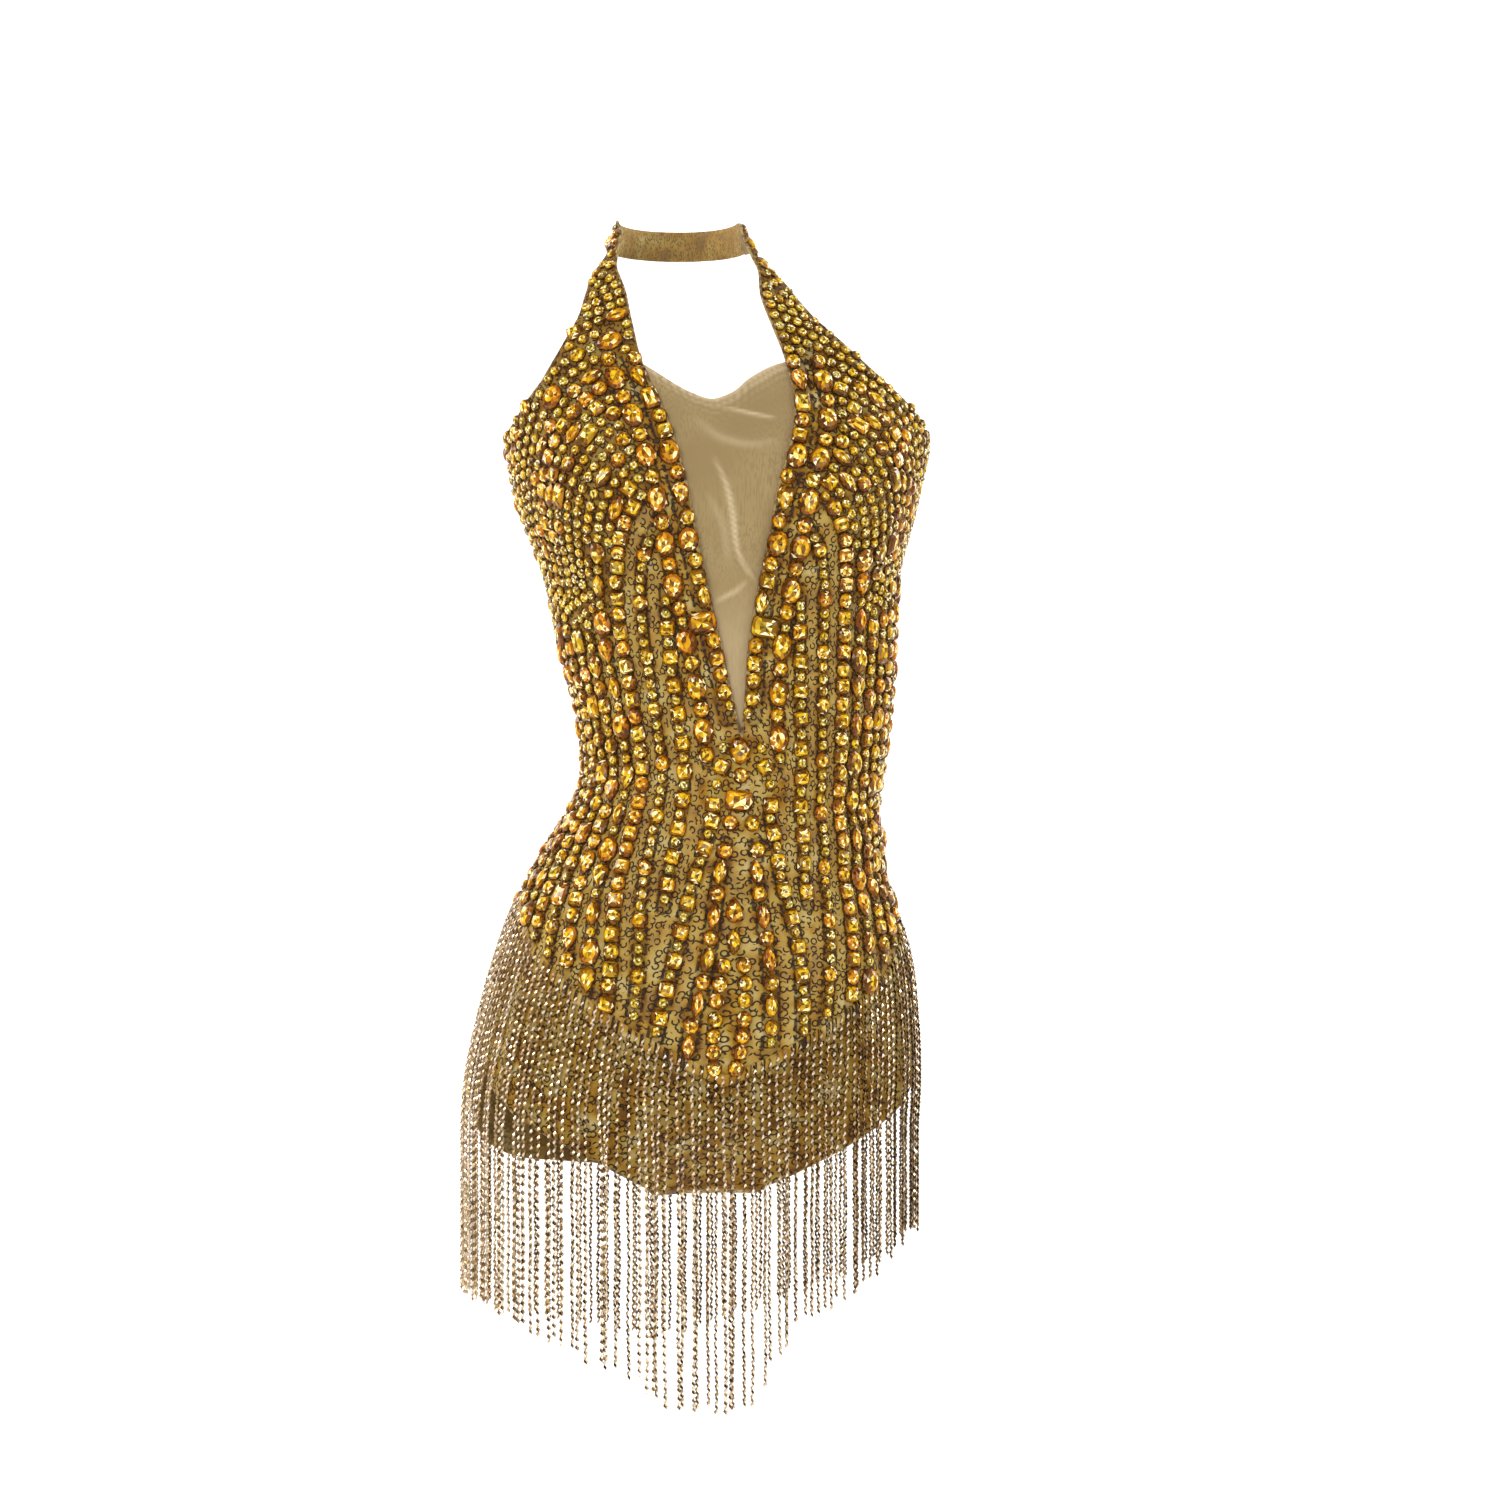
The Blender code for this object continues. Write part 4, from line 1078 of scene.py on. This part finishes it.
def clear_of_others(placed, seat):
    """Whether a stone's place keeps clear of the stones already placed."""
    gaps = placed["middle"][: len(placed["letter"])] - seat["middle"]
    away = np.linalg.norm(gaps, axis=1)
    close = np.flatnonzero(away < NEIGHBOURS_WITHIN)
    if not len(close):
        return True
    ways = gaps[close] / away[close, None]
    own = reaches(ways, seat["along"], seat["across"], seat["halves"])
    others = reaches(ways, *(placed[key][close] for key in ("along", "across", "halves")))
    return bool((away[close] > (own + others) * LEAST_APART).all())


def seat_of(letter, line, run, points, middle_at, to_edge=False, turn=0.0):
    """A stone's place at a length along its row: its middle and its ways along, across and out."""
    kind = KINDS[letter]
    chart = at_run(line, run, [middle_at])
    normal = outward(*from_chart(chart))[0]
    near = at_run(points, run, [middle_at - 0.002, middle_at + 0.002])
    along = near[1] - near[0]
    along = along - normal * (along @ normal)
    along = along / np.linalg.norm(along)
    across = np.cross(normal, along)
    middle = at_run(points, run, [middle_at])[0]
    if to_edge:
        shift = VEE_ROWS[0]["offset"] + STONE_OVERHANG - kind.wide / 2.0
        middle = middle - across * np.sign(chart[0, 0]) * shift
    turned = along * np.cos(turn) + across * np.sin(turn)
    return {
        "letter": letter,
        "middle": middle,
        "along": turned,
        "across": np.cross(normal, turned),
        "out": normal,
        "halves": np.array([kind.long, kind.wide]) / 2.0,
    }


def keep_seat(placed, seat):
    """Adds a stone's place to the list."""
    number = len(placed["letter"])
    placed["letter"].append(seat["letter"])
    for key in ("middle", "along", "across", "out", "halves"):
        placed[key][number] = seat[key]


def place_row(placed, line, letters, draws):
    """Places one row's stones from its top, tight together."""
    points = surface(*from_chart(line), WALL + STONE_LIFT)
    run = run_of(points)
    on_edge = letters == EDGE_PATTERN
    number = 0 if on_edge else draws.integers(len(letters))
    at = ROW_START
    while at < run[-1]:
        wanted = letters[number % len(letters)]
        for letter in (wanted, "S"):
            long = KINDS[letter].long
            middle_at = at + long / 2.0
            if middle_at + long * ROW_END_SHARE > run[-1]:
                continue
            seat = seat_of(letter, line, run, points, middle_at, on_edge, draws.normal() * STONE_TURN)
            if clear_of_others(placed, seat):
                keep_seat(placed, seat)
                at = middle_at + long / 2.0 + STONE_GAP
                number += letter == wanted
                break
        else:
            at += ROW_STEP


def place_motif(placed):
    """Places the stones in the middle below the V."""
    columns = [(angle, z, "M", 0.0) for z, *angles in MOTIF_COLUMNS for angle in angles]
    sides = [(-angle, z, letter, -turn) for angle, z, letter, turn in MOTIF_PAIRS]
    for angle, z, letter, turn in (*MOTIF_MIDDLE, *columns, *MOTIF_PAIRS, *sides):
        line = to_chart(np.full(3, angle), z + np.array([0.004, 0.0, -0.004]))
        points = surface(*from_chart(line), WALL + STONE_LIFT)
        run = run_of(points)
        keep_seat(placed, seat_of(letter, line, run, points, run[1], turn=np.radians(turn)))


def place_stones(draws):
    """Where every stone sits and on which cloth, as one list for each of its numbers."""
    placed = {key: np.zeros((MOST_STONES, 3)) for key in ("middle", "along", "across", "out")}
    placed["halves"] = np.zeros((MOST_STONES, 2))
    placed["letter"] = []
    placed["cloth"] = []
    place_motif(placed)
    for cloth, rows in (("front", FRONT_ROWS), ("back", BACK_ROWS), ("neck", band_row())):
        for line, letters in rows:
            place_row(placed, line, letters, draws)
        placed["cloth"] += [cloth] * (len(placed["letter"]) - len(placed["cloth"]))
    return placed


def spread(shapes, placed, chosen):
    """One mesh from copies of shapes at their places: points and faces."""
    points = []
    faces = []
    base = 0
    for i in chosen:
        local, local_faces = shapes[placed["letter"][i]][:2]
        frame_of = np.array([placed["along"][i], placed["across"][i], placed["out"][i]])
        points.append(placed["middle"][i] + local @ frame_of)
        faces += [[base + corner for corner in face] for face in local_faces]
        base += len(local)
    return np.vstack(points), faces


def add_stones():
    """The stones and their settings, in a few joined pieces for each cloth."""
    draws = np.random.default_rng(11)
    placed = place_stones(draws)
    glass, metal = stone_glass(), setting_metal()
    stones = {letter: stone_shape(kind) for letter, kind in KINDS.items()}
    settings = {letter: setting_shape(kind) for letter, kind in KINDS.items()}
    made = {"front": [], "back": [], "neck": []}
    for name, letters, cloth in (
        ("front_small", "S", "front"),
        ("front_medium", "MQ", "front"),
        ("front_large", "RHONP", "front"),
        ("back", ALL_KINDS, "back"),
        ("neck", ALL_KINDS, "neck"),
    ):
        all_stones = enumerate(zip(placed["letter"], placed["cloth"]))
        chosen = [i for i, (letter, on) in all_stones if letter in letters and on == cloth]
        piece = add_mesh(f"stones_{name}", *spread(stones, placed, chosen), glass, "stone")
        rings = [stones[placed["letter"][i]][2] for i in chosen]
        set_attribute(piece, "tone", np.concatenate([facet_tone_and_painted_light(ring, draws) for ring in rings]), "FACE")
        hues = []
        for i, ring in zip(chosen, rings):
            own = KINDS[placed["letter"][i]].hue + draws.normal() * HUE_SCATTER
            hues.append(np.clip(own + np.array(RING_HUES)[ring], 0.0, 1.0))
        set_attribute(piece, "hue", np.concatenate(hues), "FACE")
        made[cloth].append(piece)
        made[cloth].append(add_mesh(f"settings_{name}", *spread(settings, placed, chosen), metal, "chain"))
    print("stones", len(placed["letter"]))
    return made


# Fringe

def even_angles(start, end, count):
    """Angles of strands at equal distances along the hip, the outer two just clear of the seams."""
    fine = np.linspace(start, end, 400)
    run = run_of(form(fine, FREE_BELOW))
    clear = (STRAND_WIDTH + SEAM_GAP) / 2.0
    return np.interp(np.linspace(clear, run[-1] - clear, count), run, fine)


def scatter(index):
    """A repeatable number from -1 to 1 for a strand."""
    value = np.sin(index * 12.9898 + 78.233) * 43758.5453
    return 2.0 * (value - np.floor(value)) - 1.0


def strand_path(angle, index, draws):
    """A chain's line: down over the hip and then straight, a little wavy, with its side and depth."""
    root = float(fringe_line(angle)) + TAPE_HEIGHT * 0.9
    free = FREE_BELOW - FREE_DROP_AT_SIDE * np.sin(np.radians(angle)) ** 2
    free = min(free, root - 0.001)
    end = float(np.interp(angle, *np.array(STRAND_ENDS).T)) + LENGTH_SCATTER * scatter(index)
    z = np.linspace(root, end, 60)
    out = WALL + TAPE_GAP + TAPE_DEPTH + 0.5 * STRAND_SLACK * ease((root - z) / 0.03)
    line = surface(np.full(60, angle), np.maximum(z, free), out)
    line[:, 2] += np.minimum(z - free, 0.0)
    side = form(angle + 1.0, free)[0] - form(angle - 1.0, free)[0]
    side[2] = 0.0
    side = side / np.linalg.norm(side)
    depth = np.cross(side, [0.0, 0.0, 1.0])
    down = ease((root - z) / 0.12)
    lean = draws.normal() * STRAND_LEAN * down
    wave = STRAND_WAVE * np.sin(z * draws.uniform(50.0, 110.0) + draws.uniform(0.0, 6.28)) * down
    line = line + side * (lean + wave)[:, None] + depth * (draws.uniform(0.0, STRAND_DEPTH) * down)[:, None]
    return line, side, depth


def link_points(middle, way, side, depth, roll):
    """A link's six corners: two ends, and four round its middle."""
    across = side * np.cos(roll) + depth * np.sin(roll)
    through = depth * np.cos(roll) - side * np.sin(roll)
    end = way * LINK["length"] / 2.0
    wide = across * LINK["width"] / 2.0
    deep = through * LINK["depth"] / 2.0
    return [middle + end, middle + wide, middle + deep, middle - wide, middle - deep, middle - end]


def add_chains(name, start, end, count, material, seed):
    """The fringe's chains, link by link, in one joined piece."""
    draws = np.random.default_rng(seed)
    points = []
    faces = []
    tones = []
    for index, angle in enumerate(even_angles(start, end, count)):
        line, side, depth = strand_path(angle, index, draws)
        run = run_of(line)
        places = np.arange(draws.uniform(0.0, LINK["pitch"]), run[-1], LINK["pitch"])
        chain_tone = CHAIN_TONE["middle"] + draws.normal() * CHAIN_TONE["chain"]
        middles = at_run(line, run, places)
        ways = unit(at_run(line, run, places - 0.001) - at_run(line, run, places + 0.001))
        turn = draws.uniform(-0.5, 0.5)
        for k, (middle, way) in enumerate(zip(middles, ways)):
            hand = 1.0 if k % 2 else -1.0
            roll = turn + LINK["roll"] * hand + draws.normal() * 0.15
            leaning = way + side * LINK["lean"] * hand
            base = len(points)
            points += link_points(middle, leaning / np.linalg.norm(leaning), side, depth, roll)
            faces += [[base + corner for corner in face] for face in LINK_FACES]
            # Each link's tone: its chain's tone, painted lighter and darker by hand from link to link, random
            # scatter, and painted light and shade on each face
            tone = chain_tone + CHAIN_TONE["hand"] * hand + draws.normal() * CHAIN_TONE["link"]
            tones += (tone + LINK_FACE_PAINTED_LIGHT).clip(0.0, 1.0).tolist()
    made = add_mesh(name, points, faces, material, "chain")
    set_attribute(made, "tone", tones, "FACE")
    return made


def sleeve_faces(base, rings, sides):
    """Faces over rings of points, one after another, with both ends closed."""
    faces = []
    for low in range(base, base + (rings - 1) * sides, sides):
        for k in range(sides):
            after = (k + 1) % sides
            faces.append([low + k, low + sides + k, low + sides + after, low + after])
    faces.append([base + k for k in range(sides)])
    faces.append([base + rings * sides - 1 - k for k in range(sides)])
    return faces


def tube(lines, radius, sides=6):
    """A thin round roll along each line of points."""
    points = []
    faces = []
    turns = np.linspace(0.0, 2.0 * np.pi, sides, endpoint=False)
    for line in lines:
        ways = unit(np.gradient(line, axis=0))
        guide = unit(np.cross(ways, [0.0, 0.0, 1.0]) + np.array([1e-4, 1e-4, 0.0]))
        other = np.cross(ways, guide)
        faces += sleeve_faces(len(points), len(line), sides)
        for middle, a, b in zip(line, guide, other):
            points += [middle + radius * (np.cos(turn) * a + np.sin(turn) * b) for turn in turns]
    return points, faces


def add_tape(name, start, end, material):
    """The fringe's tape, in the cloth of the leotard."""
    angles = np.linspace(start, end, 320)
    low = fringe_line(angles)
    near, far = WALL + TAPE_GAP, WALL + TAPE_GAP + TAPE_DEPTH
    profile = [(0.0, near), (0.0, far - 0.0003), (0.25, far), (0.75, far - 0.0002)]
    profile += [(1.0, near + 0.0006), (1.0, near)]
    rings = [surface(angles, low + TAPE_HEIGHT * share, out) for share, out in profile]
    points = np.stack(rings, axis=1).reshape(-1, 3)
    sides = len(profile)
    made = add_mesh(name, points, sleeve_faces(0, len(angles), sides), material, "stoned_mesh")
    set_attribute(made, "near", np.full(len(points), FAR_FROM_ROWS))
    set_chart(made, to_chart(np.repeat(angles, sides), np.repeat(low, sides)))
    soften(made)
    return made


def add_gusset(material):
    """The strip between the legs, a bridge from the front's lower seam to the back's."""
    across = np.linspace(-1.0, 1.0, 25)
    along = np.linspace(0.0, 1.0, 41)
    seam = GUSSET_SEAM - SEAM_GAP
    lower = GUSSET_SEAM - 0.006
    front_angle = across * GUSSET_ANGLE
    back_angle = 180.0 - across * GUSSET_ANGLE
    start, end = form(front_angle, seam), form(back_angle, seam)
    leave = unit(form(front_angle, lower) - start) * GUSSET_REACH
    arrive = unit(end - form(back_angle, lower)) * GUSSET_REACH
    middle = (start.mean(axis=0) + end.mean(axis=0)) / 2.0
    rows = []
    for t in along:
        at_start, at_end, leaving, arriving = hermite(t)
        row = at_start * start + at_end * end + leaving * leave + arriving * arrive
        row[:, 0] = middle[0] + (row[:, 0] - middle[0]) * (1.0 - GUSSET_PINCH * np.sin(np.pi * t))
        rows.append(row)
    grid = np.array(rows)
    normals = unit(np.cross(np.gradient(grid, axis=1), -np.gradient(grid, axis=0)))
    n, m = len(along), len(across)
    ripple = 0.0003 * np.sin(along * 40.0)[:, None, None] * (1.0 - np.abs(across))[None, :, None]
    points = np.vstack([(grid + normals * (WALL + ripple)).reshape(-1, 3), grid.reshape(-1, 3)])
    faces = []
    for i in range(n - 1):
        for j in range(m - 1):
            a, b, c, d = i * m + j, i * m + j + 1, (i + 1) * m + j + 1, (i + 1) * m + j
            faces.append([a, d, c, b])
            faces.append([n * m + corner for corner in (a, b, c, d)])
    rim = list(range(m)) + [i * m + m - 1 for i in range(1, n)]
    rim += [(n - 1) * m + j for j in range(m - 2, -1, -1)] + [i * m for i in range(n - 2, 0, -1)]
    for i, corner in enumerate(rim):
        after = rim[(i + 1) % len(rim)]
        faces.append([corner, after, n * m + after, n * m + corner])
    made = add_mesh("gusset_cloth", points, faces, material, "plain_mesh")
    set_attribute(made, "near", np.full(len(points), FAR_FROM_ROWS))
    set_attribute(made, "lining", np.repeat([0.0, 1.0], n * m))
    chart = np.column_stack([np.tile(across * GUSSET_HALF_WIDTH, n), np.repeat(along * GUSSET_LENGTH, m)])
    set_chart(made, np.vstack([chart, chart]))
    soften(made)
    return made


# The insert

def net_folds(angle, z):
    """How pale each place on the insert is painted, 0 to 1 (painted highlights along the creases and over the
    gathers, paler along the hem and towards the bottom), and how far it is raised.
    """
    here = to_chart(angle, z)
    fold = np.zeros(len(z))
    rise = np.zeros(len(z))
    for pale, wide, rising, points in NET_CREASES:
        line = curve(points, 0.001)
        apart = np.linalg.norm(here[:, None, :] - line[None, :, :], axis=2)
        taper = np.sin(np.pi * (apart.argmin(axis=1) + 1) / (len(line) + 1)) ** 0.5
        near = np.exp(-((apart.min(axis=1) / wide) ** 2)) * taper
        fold = np.maximum(fold, pale * near)
        rise = rise + rising * near
    top = chart_at(NET_TOP)
    below = np.interp(here[:, 0], top[:, 0], top[:, 1]) - z
    hem = np.exp(-((below / NET_HEM["deep"]) ** 2))
    gathers = np.sin(below * 1300.0 + here[:, 0] * 60.0) * np.exp(-((below / NET_GATHERS["deep"]) ** 2))
    low = NET_LOW["pale"] * ease((NET_LOW["top"] - z) / NET_LOW["fade"])
    fold = np.maximum(np.maximum(fold, low), NET_HEM["pale"] * hem + NET_GATHERS["pale"] * gathers)
    return np.clip(fold, 0.0, 1.0), rise + NET_GATHERS["rise"] * gathers


def net_relief(angle, z):
    """The insert's relief."""
    swell = NET_SWELL * np.sin(z * 70.0 + angle * 0.2)
    return np.minimum(net_folds(angle, z)[1] + swell, NET_HIGHEST)


def net_fold_highlight(angle, z):
    """How pale each place on the insert is painted, for its material."""
    return net_folds(angle, z)[0]


# Edges, and every piece together

def add_edges(material):
    """Narrow rolled edges of the V, armholes, back and leg openings."""
    vee, armhole = vee_edge(EDGE_ROLL_SPACING), armhole_edge(EDGE_ROLL_SPACING)
    scoop, front_leg, back_leg = (
        curve(chart_of(pairs), EDGE_ROLL_SPACING) for pairs in (BACK_SCOOP, LEG_FRONT, LEG_BACK)
    )
    lines = [vee, vee * FLIP, armhole, armhole * FLIP, scoop, scoop * FLIP + ONCE_ROUND]
    lines += [front_leg, front_leg * FLIP, back_leg, back_leg * FLIP + ONCE_ROUND]
    rolls = [surface(*from_chart(line), WALL * EDGE_ROLL_SINK) for line in lines]
    points, faces = tube(rolls, EDGE_ROLL)
    made = add_mesh("rolled_edges", points, faces, material, "plain_mesh")
    soften(made, 80.0)
    return made


def build():
    """Every piece of the leotard."""
    cloth = printed_mesh()
    chain = chain_metal()
    walls = {}
    for name, outline, near in (
        ("front_cloth", front_outline(), row_distance(FRONT_ROWS)),
        ("back_cloth", back_outline(), row_distance(BACK_ROWS)),
        ("band_cloth", band_outline(), no_rows),
    ):
        walls[name] = add_shell(
            name, outline, row_relief(near), {"near": near}, 0.0, WALL - SHELL_INSET, cloth, "stoned_mesh"
        )
    front, back, band = walls.values()
    gusset = add_gusset(cloth)
    net = add_shell(
        "tulle_insert",
        net_outline(NET_EDGE_SPACING),
        net_relief,
        {"fold": net_fold_highlight},
        -NET_GAP - NET_SINK,
        NET_WALL,
        tulle(),
        "tulle",
        NET_SPACING,
    )
    edges = add_edges(edge_cloth())
    stones = add_stones()
    seam = np.degrees(SEAM_GAP / 2.0 / CHART_RADIUS)
    front_span = (-SEAM_ANGLE + seam, SEAM_ANGLE - seam)
    back_span = (SEAM_ANGLE + seam, 360.0 - SEAM_ANGLE - seam)
    chains_front = add_chains("chains_front", *front_span, STRANDS_FRONT, chain, 21)
    chains_back = add_chains("chains_back", *back_span, STRANDS_BACK, chain, 22)
    tape_front = add_tape("tape_front", *front_span, cloth)
    tape_back = add_tape("tape_back", *back_span, cloth)
    for made, node_name in (
        (front, "front_panel"),
        (back, "back_panel"),
        (band, "neck_band"),
        (gusset, "crotch_gusset"),
        (net, "mesh_insert"),
        (chains_front, "fringe_front"),
        (chains_back, "fringe_back"),
    ):
        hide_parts(node_name)


def area_light(name, place, aim, size, power, colour=WHITE):
    """A soft square light."""
    data = bpy.data.lights.new(name, "AREA")
    data.size = size
    data.energy = power
    data.color = colour
    made = add_object(name, data)
    made.location = place
    made.rotation_euler = (Vector(aim) - Vector(place)).to_track_quat("-Z", "Y").to_euler()


def studio():
    """A pale floor that sweeps up behind, soft lights and the camera."""
    floor_z = -0.955
    reach, bend, top = 6.0, 1.2, 5.0
    profile = [(-reach, floor_z), (bend, floor_z)]
    turn = np.radians(np.linspace(0.0, 90.0, 16))[1:]
    profile += [(bend + bend * np.sin(a), floor_z + bend * (1.0 - np.cos(a))) for a in turn]
    profile.append((2.0 * bend, top))
    points = [(x, y, z) for y, z in profile for x in (-reach, reach)]
    faces = [[2 * i, 2 * i + 1, 2 * i + 3, 2 * i + 2] for i in range(len(profile) - 1)]
    mesh = bpy.data.meshes.new("backdrop")
    mesh.from_pydata(points, [], faces)
    sockets = {"Base_Color": (0.90, 0.90, 0.90, 1.0), "Roughness": 0.95, "Specular_IOR_Level": 0.1}
    mesh.materials.append(new_material("backdrop", **sockets)[0])
    mesh.shade_smooth()
    add_object("backdrop", mesh)
    middle = (0.03, -0.06, -0.42)
    behind = (0.0, 2.6, -0.3)
    area_light("key", (-1.3, -2.2, 0.9), middle, 0.9, 30.0, (1.0, 0.98, 0.95))
    area_light("fill", (1.7, -1.9, 0.3), middle, 1.2, 13.0, (0.97, 0.98, 1.0))
    area_light("front", (0.1, -3.2, 0.2), middle, 0.9, 9.0)
    area_light("back_left", (-1.7, 0.35, 0.6), behind, 1.2, 48.0)
    area_light("back_right", (1.7, 0.35, 0.6), behind, 1.2, 48.0)
    world = bpy.data.worlds.new("studio")
    world.use_nodes = True
    background = world.node_tree.nodes["Background"].inputs
    background["Color"].default_value = (*WHITE, 1.0)
    background["Strength"].default_value = 0.36
    scene = bpy.context.scene
    scene.world = world
    scene.view_settings.view_transform = "Standard"
    data = bpy.data.cameras.new("camera")
    data.lens = 78.3
    data.sensor_width = 36.0
    scene.camera = add_object("camera", data)
    scene.camera.location = (-0.2826, -2.4417, -0.3787)
    scene.camera.rotation_euler = (np.radians(90.0), 0.0, np.radians(-8.0))


build()
studio()
